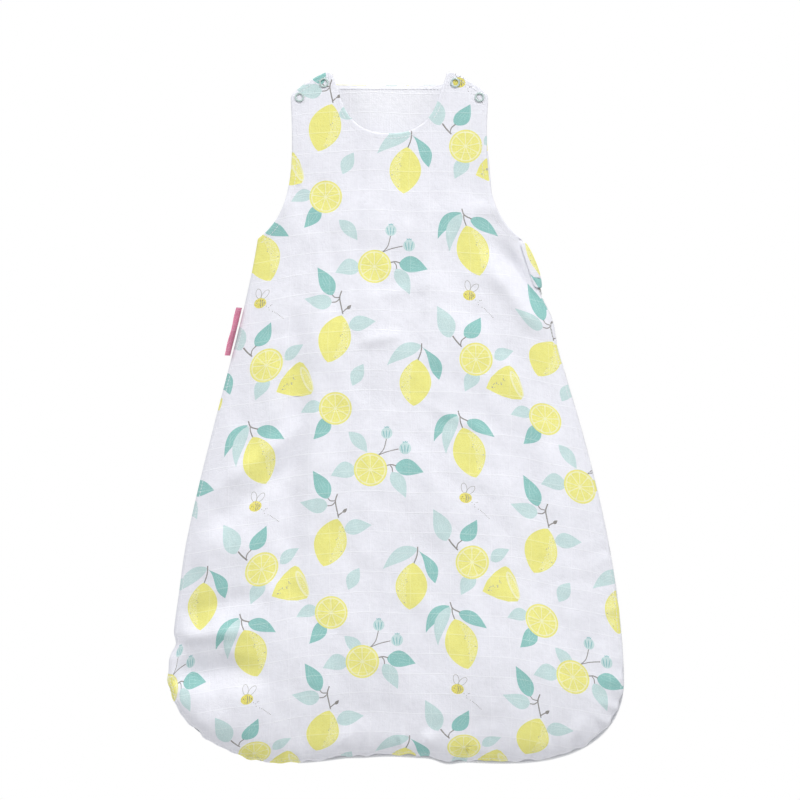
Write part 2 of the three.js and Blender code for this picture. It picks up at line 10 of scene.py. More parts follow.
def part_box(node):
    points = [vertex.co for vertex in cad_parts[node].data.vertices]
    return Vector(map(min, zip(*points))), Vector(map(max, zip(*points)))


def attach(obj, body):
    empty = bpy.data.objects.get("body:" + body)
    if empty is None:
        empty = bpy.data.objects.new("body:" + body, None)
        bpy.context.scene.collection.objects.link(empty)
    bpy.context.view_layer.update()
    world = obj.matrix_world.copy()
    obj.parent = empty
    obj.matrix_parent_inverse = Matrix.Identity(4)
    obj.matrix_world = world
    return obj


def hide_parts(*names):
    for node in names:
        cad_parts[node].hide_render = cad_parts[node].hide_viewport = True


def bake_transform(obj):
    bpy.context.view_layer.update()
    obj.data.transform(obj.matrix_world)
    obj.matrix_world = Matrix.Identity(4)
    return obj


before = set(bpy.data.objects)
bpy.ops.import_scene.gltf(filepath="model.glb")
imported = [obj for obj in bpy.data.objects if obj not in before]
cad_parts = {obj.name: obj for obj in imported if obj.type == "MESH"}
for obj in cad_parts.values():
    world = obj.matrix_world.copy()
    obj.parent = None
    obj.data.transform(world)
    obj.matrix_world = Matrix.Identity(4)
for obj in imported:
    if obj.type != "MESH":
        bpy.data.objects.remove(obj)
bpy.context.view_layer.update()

# ---- Driving dimensions, in millimetres: x across, z up, the front towards -y ----
MM = 0.001                       # one millimetre in the scene's metres
UNDERARM = (134.0, -169.0)
SHOULDER_OUTER = (99.0, -24.0)
SHOULDER_INNER = (58.5, 0.0)
NECK_FRONT_Z = -63.0
NECK_BACK_Z = -12.0
HEM_MID = (0.0, -686.0)
TAB_BASE_Z = -48.0               # the line on which a front shoulder tab folds
ZIP_END_X = -95.0                # the zip runs from the right underarm round the hem to here
GUARD_Z = (-217.0, -172.0)
SEWN_INSET = 1.5                 # from the silhouette in to a panel's edge along the sewn seam
ZIP_INSET = {"front": (1.0, 3.2), "back": (1.0, 1.8)}    # up the side and along the hem
QUILT = 3.6                      # cloth and wadding together
TAB_THICK = 2.8
ZIP_TOP_Z = -180
LINING_INSET = {"front": 2.6, "back": 2.4}
STITCH_INSET = {"arm": 5.5, "neck": 5.0, "seam": 3.4, "tab": 4.6}
STRAP_THICK = 1.7
LINING_THICK = 0.7
LINING_GAP = 0.1
STRAP_FOLD = {"half_width": 7.4, "rise": 3.5, "drop": 1.2, "end_z": -46.0, "outer_x": 97.3, "inner_x": 57.2}
POPPERS = ((65.6, -12.5), (89.9, -27.0))
WEAVE_PITCH = 1.0
PANE_PITCH = 20.0                # the muslin's window-pane lines
STITCH = {"length": 2.6, "pitch": 3.5, "radius": 0.28}


# ---- Lines and areas in the flat ----
def bezier(a, b, c, d, steps=40):
    t = np.linspace(0, 1, steps + 1)[:, None]
    a, b, c, d = (np.array(p, float) for p in (a, b, c, d))
    return (1 - t) ** 3 * a + 3 * (1 - t) ** 2 * t * b + 3 * (1 - t) * t ** 2 * c + t ** 3 * d


def chain(*lines):
    """Lines joined end to end, without repeated points."""
    points = np.concatenate([np.asarray(line, float).reshape(-1, 2) for line in lines])
    keep = np.ones(len(points), bool)
    keep[1:] = np.linalg.norm(np.diff(points, axis=0), axis=1) > 0.05
    return points[keep]


def mirrored(line):
    return np.asarray(line) * (-1, 1)


def smooth(t):
    t = np.clip(t, 0, 1)
    return t * t * (3 - 2 * t)


def unit(vectors):
    return vectors / np.linalg.norm(vectors, axis=-1, keepdims=True)


def run_along(line):
    """How far along a line each of its points is."""
    return np.concatenate([[0], np.cumsum(np.linalg.norm(np.diff(line, axis=0), axis=1))])


def left_of(directions):
    lengths = np.linalg.norm(directions, axis=-1, keepdims=True)
    return np.stack([-directions[..., 1], directions[..., 0]], -1) / np.maximum(lengths, 1e-9)


def inset_loop(loop, amount):
    """A closed anticlockwise line moved inwards by an amount for each of its points."""
    before = left_of(loop - np.roll(loop, 1, axis=0))
    after = left_of(np.roll(loop, -1, axis=0) - loop)
    corner = np.maximum(1 + (before * after).sum(1), 0.4)
    return loop + (np.broadcast_to(amount, len(loop)) / corner)[:, None] * (before + after)


def inset_line(line, amount):
    """An open line moved to its left by an amount for each of its points."""
    ends = np.concatenate([line[:1] * 2 - line[1:2], line, line[-1:] * 2 - line[-2:-1]])
    along = ends[2:] - ends[:-2]
    return line + np.broadcast_to(amount, len(line))[:, None] * left_of(along)


def nearest(line, points):
    """Distance from each point to a line, and how far along the line the nearest place is."""
    best = np.full(len(points), np.inf)
    along = np.zeros(len(points))
    start = 0.0
    for a, b in zip(line[:-1], line[1:]):
        ab = b - a
        length = float(np.hypot(*ab))
        t = np.clip((points - a) @ ab / length ** 2, 0, 1)
        d = np.linalg.norm(points - a - t[:, None] * ab, axis=1)
        closer = d < best
        best[closer] = d[closer]
        along[closer] = start + t[closer] * length
        start += length
    return best, along


def evenly(line, spacing):
    """Points along a line at an even spacing."""
    lengths = run_along(line)
    count = max(2, int(round(lengths[-1] / spacing)) + 1)
    at = np.linspace(0, lengths[-1], count)
    return np.stack([np.interp(at, lengths, line[:, 0]), np.interp(at, lengths, line[:, 1])], 1)


def inside(loop, points):
    """Which points lie inside a closed line."""
    found = np.zeros(len(points), bool)
    x, y = points.T
    for (ax, ay), (bx, by) in zip(loop, np.roll(loop, -1, axis=0)):
        crosses = (ay > y) != (by > y)
        if ay != by:
            found ^= crosses & (x < (bx - ax) * (y - ay) / (by - ay) + ax)
    return found


# ---- The bag's outline ----
seam_left = chain(
    bezier(mirrored(UNDERARM), (-152, -285), (-215, -450), (-224, -605), 120),
    bezier((-224, -605), (-225, -641), (-190, -682), (-125, -695)),
    bezier((-125, -695), (-62, -697), (-40, -686), HEM_MID),
)
seam_right = chain(
    bezier(UNDERARM, (170, -285), (233, -450), (236, -612)),
    bezier((236, -612), (236, -655), (206, -692), (130, -695)),
    bezier((130, -695), (62, -697), (40, -686), HEM_MID),
)
seam_right[:, 0] += 4.6 * np.exp(-((seam_right[:, 1] + 249) / 20) ** 2)      # bulges below the zip's hood
for seam in (seam_left, seam_right):                                           # the hem sags and steps here
    seam[:, 1] -= (2.2 * smooth((48 - np.abs(seam[:, 0])) / 26) + 4.2 * np.exp(-((seam[:, 0] - 57) / 13) ** 2)) \
        * (seam[:, 1] < -660)
seam_left[:, 0] += 2.0 * smooth((-470 - seam_left[:, 1]) / 60) * smooth((seam_left[:, 1] + 592) / 16)
seam_left[:, 0] += 3.6 * np.exp(-((seam_left[:, 1] + 574) / 7) ** 2)          # nipped in by a fold
armhole_right = chain(
    bezier(UNDERARM, (108, -152), (98, -125), (97.5, -75)),
    bezier((97.5, -75), (97.3, -60), (98, -40), SHOULDER_OUTER, 12),
)
neck_right = chain(
    bezier((0, NECK_FRONT_Z), (28, NECK_FRONT_Z), (43, -50), (50, -24)),
    bezier((50, -24), (53, -15), (56, -8), SHOULDER_INNER, 12),
)
silhouette = chain(seam_left, seam_right[::-1])


def seam_x(seam, z):
    """Where a seam lies across the bag at a height."""
    return np.interp(z, seam[::-1, 1], seam[::-1, 0])


def sewn_to_zip(points):
    """0 along the sewn left seam, 1 along the zip."""
    return smooth((points[:, 0] - ZIP_END_X) / 45)


def panel_edge(side):
    """A panel's seam edge, from the left underarm round the hem to the right underarm."""
    on_zip = sewn_to_zip(silhouette)
    under_guard = smooth((silhouette[:, 1] - GUARD_Z[0] + 6) / 12) * (silhouette[:, 0] > 0)
    up_side, on_hem = ZIP_INSET[side]
    zip_inset = up_side + (on_hem - up_side) * smooth((-600 - silhouette[:, 1]) / 60) - 0.4 * under_guard
    inset = SEWN_INSET + (zip_inset - SEWN_INSET) * on_zip
    edge = inset_line(silhouette, inset)
    if side == "back":
        return edge
    _, along = nearest(edge, edge)
    return inset_line(edge, HEM_WAVE * 0.45 * hem_waves(edge, along))


# ---- Waves, folds and depth of the quilted panels ----
HEM_WAVE = 2.5
HEM_WAVE_REACH = 15.0
FOLD_STRENGTH = 1.45
CHAOS = np.random.default_rng(614)


def wave_set(lengths, each=5, spread=0.35):
    """Waves of several lengths, their crests mostly down the bag, as (kx, kz, phase, share)."""
    waves = []
    for length in lengths:
        for _ in range(each):
            angle, phase = CHAOS.normal(0, spread), CHAOS.uniform(0, 2 * math.pi)
            k = 2 * math.pi / (length * CHAOS.uniform(0.75, 1.3))
            waves.append((k * math.cos(angle), k * math.sin(angle), phase, 1 / math.sqrt(each)))
    return waves


def ripple(waves, points):
    total = np.zeros(len(points))
    for kx, kz, phase, share in waves:
        total += share * np.sin(kx * points[:, 0] + kz * points[:, 1] + phase)
    return total


BROAD = {"front": wave_set((170, 80)), "back": wave_set((170, 80))}
SMALL = {"front": wave_set((40, 26), 7, 1.5), "back": wave_set((40, 26), 7, 1.5)}
PUCKERS = [(17.0, 0.4), (24.5, 2.2), (38.0, 5.0)]     # wavelength along the hem, and phase


def hem_waves(points, along):
    """Puckers along the hem and round its corners, from -1 to 1, calm up the sides."""
    total = sum(np.sin(2 * math.pi * along / length + phase) for length, phase in PUCKERS) / 2
    low = smooth((-560 - points[:, 1]) / 90)
    right_side = 0.35 * smooth((-430 - points[:, 1]) / 60) * (points[:, 0] > 0)
    return total * np.maximum(low, right_side)


def fold(points, a, b, width, height):
    """A soft ridge from a to b that fades at both ends."""
    a, b = np.array(a, float), np.array(b, float)
    ab = b - a
    length = np.hypot(*ab)
    along = (points - a) @ ab / length ** 2
    across = (points - a) @ left_of(ab)
    return height * np.exp(-(across / width) ** 2) * smooth(along / 0.35) * smooth((1 - along) / 0.35)


FOLDS = {
    "front": [
        ((104, -164), (166, -252), 8, -5.2),             # pulled from the right underarm
        ((92, -184), (160, -272), 10, 3.6),
        ((84, -206), (132, -310), 13, -1.8),
        ((-66, -150), (-80, -540), 11, 4.0),             # hanging down from the chest
        ((-92, -180), (-104, -540), 12, -4.0),
        ((-30, -50), (-36, -260), 7, -1.6),
        ((38, -70), (46, -360), 14, 1.9),
        ((128, -300), (150, -620), 12, -3.2),
        ((160, -330), (198, -650), 14, 3.4),
        ((60, -350), (84, -640), 20, 1.9),
        ((22, -400), (30, -650), 16, -1.5),
        ((-20, -420), (-44, -650), 18, 1.7),
        ((-60, -338), (-204, -440), 9, 2.2),             # across the left side
        ((-70, -372), (-208, -478), 10, -2.0),
        ((-112, -466), (-214, -484), 22, 2.8),
        ((-112, -520), (-232, -550), 11, -2.8),
        ((-126, -556), (-234, -570), 8, 3.4),
        ((-106, -598), (-240, -606), 17, -8.6),
        ((-124, -650), (-236, -654), 15, 1.2),
        ((-66, -640), (50, -640), 16, -1.4),
        ((-52, -694), (-40, -650), 8, 2.8),
        ((44, -694), (36, -655), 8, 3.0),
        ((-200, -640), (-160, -694), 7, 1.8),
        ((196, -640), (170, -694), 7, 1.8),
        ((206, -560), (238, -650), 8, 2.0),
    ],
    "back": [
        ((60, -180), (130, -330), 14, 3.0),
        ((-60, -180), (-130, -330), 14, 3.0),
        ((-20, -120), (0, -380), 26, -2.0),
        ((-90, -380), (-150, -600), 20, 2.4),
        ((70, -400), (140, -640), 22, 2.4),
        ((0, -420), (-30, -660), 24, 1.8),
        ((-200, -560), (-60, -600), 16, -2.0),
        ((210, -540), (80, -610), 16, -2.0),
    ],
}


def creases(count, turn):
    """Soft creases of washed muslin: down the bag, fanning out, with some across."""
    found = []
    for _ in range(count):
        z = CHAOS.uniform(-660, -90)
        half = 80 + 130 * min(1.0, (-z - 60) / 420)
        x = CHAOS.uniform(-half, half)
        lean = CHAOS.normal(x / 620 + turn, 0.12) if CHAOS.random() < 0.7 else CHAOS.normal(1.45, 0.3)
        length, width = CHAOS.uniform(40, 150), CHAOS.uniform(4.5, 10)
        dx, dz = math.sin(lean) * length / 2, -math.cos(lean) * length / 2
        found.append(((x - dx, z - dz), (x + dx, z + dz), width, CHAOS.normal(0, 0.07) * width))
    return found


for _side, _turn in (("front", 0.0), ("back", 0.05)):
    FOLDS[_side] += creases(64, _turn)
FULLNESS = {                     # (height, depth in front of or behind the middle plane)
    "front": ((0, 14), (-60, 14), (-100, 14.5), (-169, 19), (-300, 27), (-450, 33), (-600, 36), (-700, 36)),
    "back": ((0, 7.4), (-45, 7.4), (-100, 11), (-169, 16), (-300, 22), (-450, 26), (-600, 27), (-700, 27)),
}
RISE_WIDTH = 130.0
RISE_POWER = 0.64
ROLL_WIDTH = 24.0                   # the padding turns over more tightly along the hem
ROLL_SHARE = 0.22
EDGE_DEPTH = {"sewn": QUILT + 0.2, "zip": QUILT + 1.25}

EDGES = {side: panel_edge(side) for side in ("front", "back")}


def fullness(side, z):
    table = FULLNESS[side]
    depth = np.full(len(z), float(table[0][1]))
    for (z0, d0), (z1, d1) in zip(table[:-1], table[1:]):
        here = (z <= z0) & (z > z1)
        depth[here] = d0 + (d1 - d0) * smooth((z0 - z[here]) / (z0 - z1))
    depth[z <= table[-1][0]] = table[-1][1]
    return depth


def outer_depth(side, points):
    """How far a panel's outer face lies from the bag's middle plane."""
    d, along = nearest(EDGES[side], points)
    d = np.where(inside(EDGES[side], points) | (points[:, 1] > UNDERARM[1]) | (d > 12), d, 0)
    on_zip = sewn_to_zip(points)
    edge = EDGE_DEPTH["sewn"] + (EDGE_DEPTH["zip"] - EDGE_DEPTH["sewn"]) * on_zip
    rise = (1 - (1 - np.clip(d / RISE_WIDTH, 0, 1)) ** 2) ** RISE_POWER
    roll = ROLL_SHARE * smooth((-560 - points[:, 1]) / 90)
    rise = (1 - roll) * rise + roll * np.sqrt(1 - (1 - np.clip(d / ROLL_WIDTH, 0, 1)) ** 2)
    depth = edge + (fullness(side, points[:, 1]) - edge) * rise
    away = smooth(d / 30)
    calm_top = smooth((-70 - points[:, 1]) / 80)
    depth += away * calm_top * (1.0 * ripple(BROAD[side], points) + 0.3 * ripple(SMALL[side], points))
    depth += smooth(d / 16) * FOLD_STRENGTH * sum(fold(points, *facts) for facts in FOLDS[side])
    hem = HEM_WAVE * hem_waves(points, along) * np.exp(-d / HEM_WAVE_REACH) * smooth(d / 5)
    return depth + hem * (1.0 if side == "front" else 0.7)


def front_place(points, depth):
    """Cloth of the front at a depth below its outer face."""
    y = -(outer_depth("front", points) - depth)
    return np.stack([points[:, 0], y, points[:, 1]], 1)


def strap_fold_start(x):
    share = (np.abs(x) - SHOULDER_INNER[0]) / (SHOULDER_OUTER[0] - SHOULDER_INNER[0])
    top = SHOULDER_INNER[1] + share * (SHOULDER_OUTER[1] - SHOULDER_INNER[1])
    return top - STRAP_FOLD["drop"] - STRAP_FOLD["rise"]


FOLD_LENGTH = math.pi * math.sqrt((STRAP_FOLD["half_width"] ** 2 + STRAP_FOLD["rise"] ** 2) / 2)


def back_place(points, depth):
    """Cloth of the back at a depth below its outer face; the straps fold over to the front."""
    x, s = points.T
    start = strap_fold_start(x)
    body_y = outer_depth("back", points) - depth
    past = np.where(np.abs(x) > 50, s - start, -1)
    turn = np.clip(past / FOLD_LENGTH, 0, 1) * math.pi
    across = STRAP_FOLD["half_width"] - depth
    up = STRAP_FOLD["rise"] - depth
    beyond = np.maximum(past - FOLD_LENGTH, 0)
    folded_z = start + up * np.sin(turn) - beyond
    folded_y = across * np.cos(turn)
    return np.stack([x, np.where(past > 0, folded_y, body_y), np.where(past > 0, folded_z, s)], 1)


# ---- The print: lemons, slices, leaves, twigs and bees, as flat outlines ----
def leaf(base, tip, width, colour, bow=0.0, roundness=0.72):
    base, tip = np.array(base, float), np.array(tip, float)
    t = np.linspace(0, 1, 17)[:, None]
    axis = tip - base
    side = left_of(axis)
    half = width / 2 * np.sin(math.pi * t ** roundness)
    mid = base + axis * t + side * bow * 4 * t * (1 - t)
    outline = np.concatenate([mid + side * half, (mid - side * half)[-2:0:-1]])
    shapes = [(outline, colour)]
    if colour in ("leaf_dark", "leaf_light"):
        for lean, first, last in ((0.42, 4, 11), (0.06, 3, 14), (-0.36, 5, 12)):
            vein = (mid + side * half * lean)[first:last]
            thin = 0.22 * np.sin(np.linspace(0, math.pi, len(vein)))[:, None] * side
            shapes.append((np.concatenate([vein + thin, (vein - thin)[-2:0:-1]]), colour.replace("leaf", "vein")))
    return shapes


def circle(centre, radius, count=32, squash=1.0, turn=0.0):
    angle = np.linspace(0, 2 * math.pi, count, endpoint=False)
    x, z = radius * np.cos(angle), radius * squash * np.sin(angle)
    c, s = math.cos(turn), math.sin(turn)
    return np.stack([centre[0] + c * x - s * z, centre[1] + s * x + c * z], 1)


def stroke(points, width=1.1):
    """A drawn line of even width through a few points."""
    points = np.array(points, float)
    padded = np.concatenate([2 * points[:1] - points[1:2], points, 2 * points[-1:] - points[-2:-1]])
    line = []
    for a, b, c, d in zip(padded[:-3], padded[1:-2], padded[2:-1], padded[3:]):
        line.append(bezier(b, b + (c - a) / 6, c - (d - b) / 6, c, 4)[:-1])
    line = np.concatenate(line + [points[-1:]])
    return [(np.concatenate([inset_line(line, width / 2), inset_line(line, -width / 2)[::-1]]), "twig")]


def dots(spots, radius, colour):
    return [(circle(spot, radius, 6), colour) for spot in spots]


def lemon(top, bottom, width, pale=1):
    """A whole lemon, dotted down the side right of its axis for pale 1 and left of it for -1."""
    top, bottom = np.array(top, float), np.array(bottom, float)
    axis = (bottom - top) / 2
    side = left_of(axis) * pale
    u = np.linspace(-1, 1, 25)[:, None]
    half = width / 2 * np.clip(np.cos(u * math.pi / 2), 0, 1) ** 0.72
    middle = (top + bottom) / 2 + axis * u
    body = np.concatenate([middle + side * half, (middle - side * half)[-2:0:-1]])
    inner = slice(3, 22)
    light = np.concatenate([(middle + side * half * 0.36)[inner], (middle + side * half * 0.92)[inner][::-1]])
    grain = np.random.default_rng(7)
    peel = []
    for n in range(36):
        u, across = grain.uniform(-0.78, 0.84), grain.uniform(0.3, 0.9)
        spot = (top + bottom) / 2 + axis * u + side * width / 2 * math.cos(u * math.pi / 2) ** 0.72 * across
        peel += dots([spot], grain.uniform(0.32, 0.55), "pith" if n % 3 else "twig_pale")
    return [(body, "lemon"), (light, "lemon_pale")] + peel


def lemon_slice(centre, radius):
    centre = np.array(centre, float)
    shapes = [(circle(centre, radius, 44), "lemon"), (circle(centre, radius * 0.9, 40), "pith"),
              (circle(centre, radius * 0.835, 40), "lemon")]
    for n in range(9):
        angle = 2 * math.pi * (n + 0.3) / 9
        out = np.array([math.cos(angle), math.sin(angle)])
        across = np.array([-out[1], out[0]])
        spoke = [centre + out * radius * 0.06 - across * 0.3, centre + out * radius * 0.72 - across * 0.42,
                 centre + out * radius * 0.85 - across * 1.1, centre + out * radius * 0.85 + across * 1.1,
                 centre + out * radius * 0.72 + across * 0.42, centre + out * radius * 0.06 + across * 0.3]
        shapes.append((np.array(spoke), "pith"))
        for reach, lean in ((0.42, 0.5), (0.62, 0.36), (0.66, 0.66)):
            mid = angle + 2 * math.pi * lean / 9
            spot = centre + radius * reach * np.array([math.cos(mid), math.sin(mid)])
            shapes.append((circle(spot, 1.0, 8, 0.34, mid), "lemon_pale"))
    shapes.append((circle(centre, radius * 0.09, 9), "pith"))
    return shapes


def bud(centre, radius, turn=0.0):
    """A round bud with a small crown and fine veins."""
    c = np.array(centre, float)
    crown = c + radius * np.array([(-0.35, 0.8), (-0.42, 1.22), (-0.14, 1.08), (0.04, 1.28), (0.2, 1.08), (0.44, 1.2),
                                   (0.35, 0.8)])
    shapes = [(crown, "leaf_mid"), (circle(c, radius, 22), "leaf_light")]
    for lean in (-0.55, -0.05, 0.45):
        vein = circle(c + (lean * radius, -0.1 * radius), radius * 0.72, 14, 0.14, math.pi / 2 + turn - lean * 0.4)
        shapes.append((vein, "leaf_mid"))
    return shapes


def lemon_half(origin):
    """Half a lemon with its cut face to the right."""
    o = np.array(origin, float)
    rind = o + np.array([(-20.8, -7.2), (-18.6, -1.5), (-16, 3.8), (-9, 11.2), (-2, 16.2), (2.2, 17.6), (6, 15.4),
                         (11.5, 6.5), (15.6, -6), (16.6, -13), (14.2, -17.4), (5, -17.4), (-5, -14.8), (-14, -10.8)])
    cut = circle(o + (9.6, -1.6), 15.0, 30, 0.27, math.radians(-67))
    flesh = circle(o + (9.9, -1.8), 12.8, 26, 0.2, math.radians(-67))
    grain = np.random.default_rng(11)
    peel = []
    for _ in range(16):
        t, across = grain.uniform(0.1, 0.95), grain.uniform(-0.8, 0.8)
        peel += dots([o + (-17 + 17 * t, -5 + 12 * t + across * (3 + 6 * t) - 4 * t)], grain.uniform(0.35, 0.6),
                     "twig_pale")
    return [(rind, "lemon")] + peel + [(cut, "pith"), (flesh, "lemon_pale")]


def bee(centre, turn=0.0):
    c = np.array(centre, float)
    shapes = []
    for (x, z), lean in (((-1.5, 9.8), 1.75), ((5.2, 7.6), 0.75)):
        shapes.append((circle(c + (x, z), 5.2, 22, 0.58, lean), "twig_pale"))
        shapes.append((circle(c + (x, z), 4.7, 22, 0.54, lean), "muslin"))
    shapes.append((circle(c, 6.3, 26, 0.8, turn - 0.2), "lemon_deep"))
    for x in (0.2, 2.2, 4.0):
        height = 4.3 - 0.28 * x * x * 0.6
        stripe = np.array([(x - 0.3, -height), (x + 0.35, -height), (x + 0.95, 0), (x + 0.35, height - 0.6),
                           (x - 0.3, height - 0.6), (x + 0.3, 0)])
        shapes.append((c + stripe, "twig"))
    shapes.append((circle(c + (-3.4, 0.9), 0.55, 8), "twig"))
    for t in np.linspace(0, 1, 15):                       # the dotted line of its flight
        turn_back = max(0.0, 1 - t / 0.45)
        x = 6.4 + 17 * t - 3.4 * math.sin(2 * math.pi * turn_back)
        z = -4.5 - 16 * t + 3.2 * math.sin(math.pi * turn_back) ** 2
        shapes.append((circle(c + (x, z), 0.42, 6), "twig"))
    return shapes


def print_tile():
    """One repeat of the print, placed as on the chest of the bag."""
    motifs = [
        # A slice with buds above it and three leaves
        leaf((-29, -196.5), (-54, -202.5), 16.5, "leaf_light", bow=-2.5),
        leaf((9.5, -193.2), (38, -199.5), 16.5, "leaf_dark", bow=1.6),
        leaf((6.2, -199), (20.3, -224.5), 14, "leaf_light", bow=1.2),
        stroke([(1, -192.5), (6, -191.7), (10.6, -192.9)], 1.2),
        stroke([(4.6, -192.4), (6.6, -194.8), (7.1, -199)], 1.0),
        stroke([(-6.9, -182.3), (-1.6, -176), (1.2, -165.5)], 0.9),
        stroke([(-6.4, -181.9), (2.5, -178.6), (13, -176.2)], 0.9),
        bud((1.4, -160.4), 5.6) + bud((19.6, -175.6), 5.9),
        lemon_slice((-14.8, -196.4), 16.6),
        # A hanging lemon with three long leaves
        leaf((71.4, -142.4), (48.2, -168.8), 12.5, "leaf_dark", bow=-4.6),
        leaf((72.2, -143.4), (60.2, -181.5), 12.5, "leaf_light", bow=-4.2),
        leaf((80.6, -148.6), (108.5, -165), 12.5, "leaf_dark", bow=1.6),
        stroke([(72.2, -138.6), (74.6, -144.8), (82, -148.8)], 1.2),
        stroke([(74, -145), (74.6, -150), (77, -156.4)], 1.1),
        lemon((76.6, -155.4), (90, -205), 32, pale=1),
        bee((79.6, -225)),
        # A slice between leaves, and half a lemon
        leaf((60.6, -267.6), (47.4, -236), 17.5, "leaf_light", bow=-1.6),
        leaf((75, -267.2), (90.8, -246.7), 15, "leaf_dark", bow=-2),
        leaf((88.6, -302.5), (75.2, -321.2), 14.5, "leaf_light", bow=-2),
        leaf((104.6, -287.4), (123.2, -276.4), 12.5, "leaf_light", bow=1.4),
        stroke([(62.8, -265.8), (66.6, -271), (71.8, -276.6)], 1.4),
        stroke([(76, -266.9), (71.8, -270.4), (70.6, -275.4)], 1.1),
        lemon_slice((86.1, -288.8), 16.6),
        lemon_half((117, -310.4)),
        # A round lemon under two leaves
        leaf((31.6, -275), (-2.4, -295), 14, "leaf_light", bow=-3.4),
        leaf((32.4, -276.8), (49.4, -309.6), 12, "leaf_dark", bow=3.8, roundness=1.5),
        stroke([(32.1, -273.2), (31.4, -281.5), (28.2, -290)], 1.2),
        lemon((27.5, -289), (24, -335.5), 31.5, pale=-1),
        # A slice with two leaves behind it, and two loose leaves
        leaf((-66.5, -334.6), (-88.2, -342.2), 12.5, "leaf_light", bow=-1.8),
        leaf((-60.8, -346.4), (-75.4, -368.6), 14, "leaf_dark", bow=2),
        lemon_slice((-53.7, -337.9), 16.3),
        leaf((-36.8, -315.4), (-25.8, -293.8), 13, "leaf_light", bow=0.8, roundness=0.95),
        leaf((-40.5, -361.2), (-22, -381.6), 12.5, "leaf_light", bow=1.4, roundness=0.9),
        # A lemon on a forked twig
        leaf((-56.8, -225.2), (-71.8, -197.4), 15.5, "leaf_dark", bow=-1),
        leaf((-57.4, -232.2), (-84.8, -228.6), 15, "leaf_light", bow=1.2, roundness=0.62),
        leaf((-40.8, -256.2), (-13.6, -251.4), 15, "leaf_light", bow=1.2),
        stroke([(-47.6, -220.6), (-49.6, -227.4), (-48.4, -235), (-46.4, -244)], 1.2),
        stroke([(-57, -224.6), (-54.6, -227.2), (-49.8, -227.4)], 1.0),
        stroke([(-57.4, -232.2), (-53, -231.6), (-49.6, -228.4)], 1.0),
        stroke([(-47.4, -242.6), (-43.6, -239.4), (-39.2, -236.4)], 1.1),
        leaf((-42, -239), (-38, -234.8), 3.2, "twig"),
        lemon((-47.6, -245.2), (-61.4, -292.2), 32, pale=1),
    ]
    return [shape for motif in motifs for shape in motif]


REPEAT = 209.0
SIDE_BAND = 36                   # the print is drawn together in a band along the lower left edge
HEM_BAND = 30                    # and a little in one along the hem, below this height
HEM_BAND_Z = 650
TURNED_SHARE = 0.22              # a shape left with less of its area has turned out of sight
ROWS = ((-10, 212), (0, 0), (-4, -202), (-12, -392))    # drift across and drop of each row of the print


def settled(points):
    """The print's places after the cloth has slipped below the right underarm and turned under at its edges."""
    slip = np.exp(-((points[:, 0] - 160) / 38) ** 2 - ((points[:, 1] + 232) / 68) ** 2)
    points = points + slip[:, None] * (2.0, -17.0)
    x, z = points.T
    share = 0.62 * smooth((-520 - z) / 60) * (x < 0)
    x = gathered(np.abs(x), side_width(x, z) - SIDE_BAND, SIDE_BAND, share) * np.sign(x)
    z = -gathered(-z, HEM_BAND_Z, HEM_BAND, 0.4)
    return np.stack([x, z], 1)


def gathered(value, start, band, share):
    """Values beyond a start squeezed into the band after it, as cloth turning out of sight."""
    past = np.maximum(value - start, 0)
    return np.where(value > start, value + share * (start + band * (1 - np.exp(-past / band)) - value), value)


def side_width(x, z):
    """The half width of the front at a height, on the side that x lies."""
    z = np.clip(z, -600, UNDERARM[1])
    return np.where(x > 0, seam_x(seam_right, z), -seam_x(seam_left, z)) - 3


def sink(x):
    """The print droops a little towards the sides of the bag."""
    return 0.01 * x - 5.5e-4 * x * x


def printed(outline, flip=False):
    """The print's shapes that touch an area, in painting order."""
    low, high = outline.min(0), outline.max(0)
    found = []
    tile = print_tile()
    for drift, drop in ROWS:
        for column in (-1, 0, 1):
            for shape, colour in tile:
                x = shape[:, 0] + REPEAT * column + drift
                z = shape[:, 1] + drop + sink(x) - sink(shape[:, 0])
                plain = np.stack([x, z], 1)
                moved = settled(plain)
                if abs(signed_area(moved)) < TURNED_SHARE * abs(signed_area(plain)):
                    continue
                if flip:
                    moved = moved[::-1] * (-1, 1) + (36, 64)
                if (moved.max(0) > low).all() and (moved.min(0) < high).all():
                    found.append((moved, colour))
    return found


# ---- Cloth as a closed mesh: face, turned edge and underside ----
ROLL_STEPS = 6
RINGS = (0.9, 2.2, 4.2, 7.0)     # extra points this far inside an edge, where the cloth curves most


def signed_area(loop):
    x, z = loop.T
    return (np.dot(x, np.roll(z, -1)) - np.dot(z, np.roll(x, -1))) / 2


def anticlockwise(loop):
    return loop if signed_area(loop) > 0 else loop[::-1]


def closed_line(loop):
    return np.concatenate([loop, loop[:1]])


def ring_points(loop, rings, spacings):
    """Points along rings inside a loop, each ring at its own spacing, clear of the loop itself."""
    found = []
    for ring, spacing in zip(rings, spacings):
        points = evenly(closed_line(inset_loop(loop, ring)), spacing)
        points = points[inside(loop, points)]
        found.append(points[nearest(closed_line(loop), points)[0] > ring * 0.85])
    return found


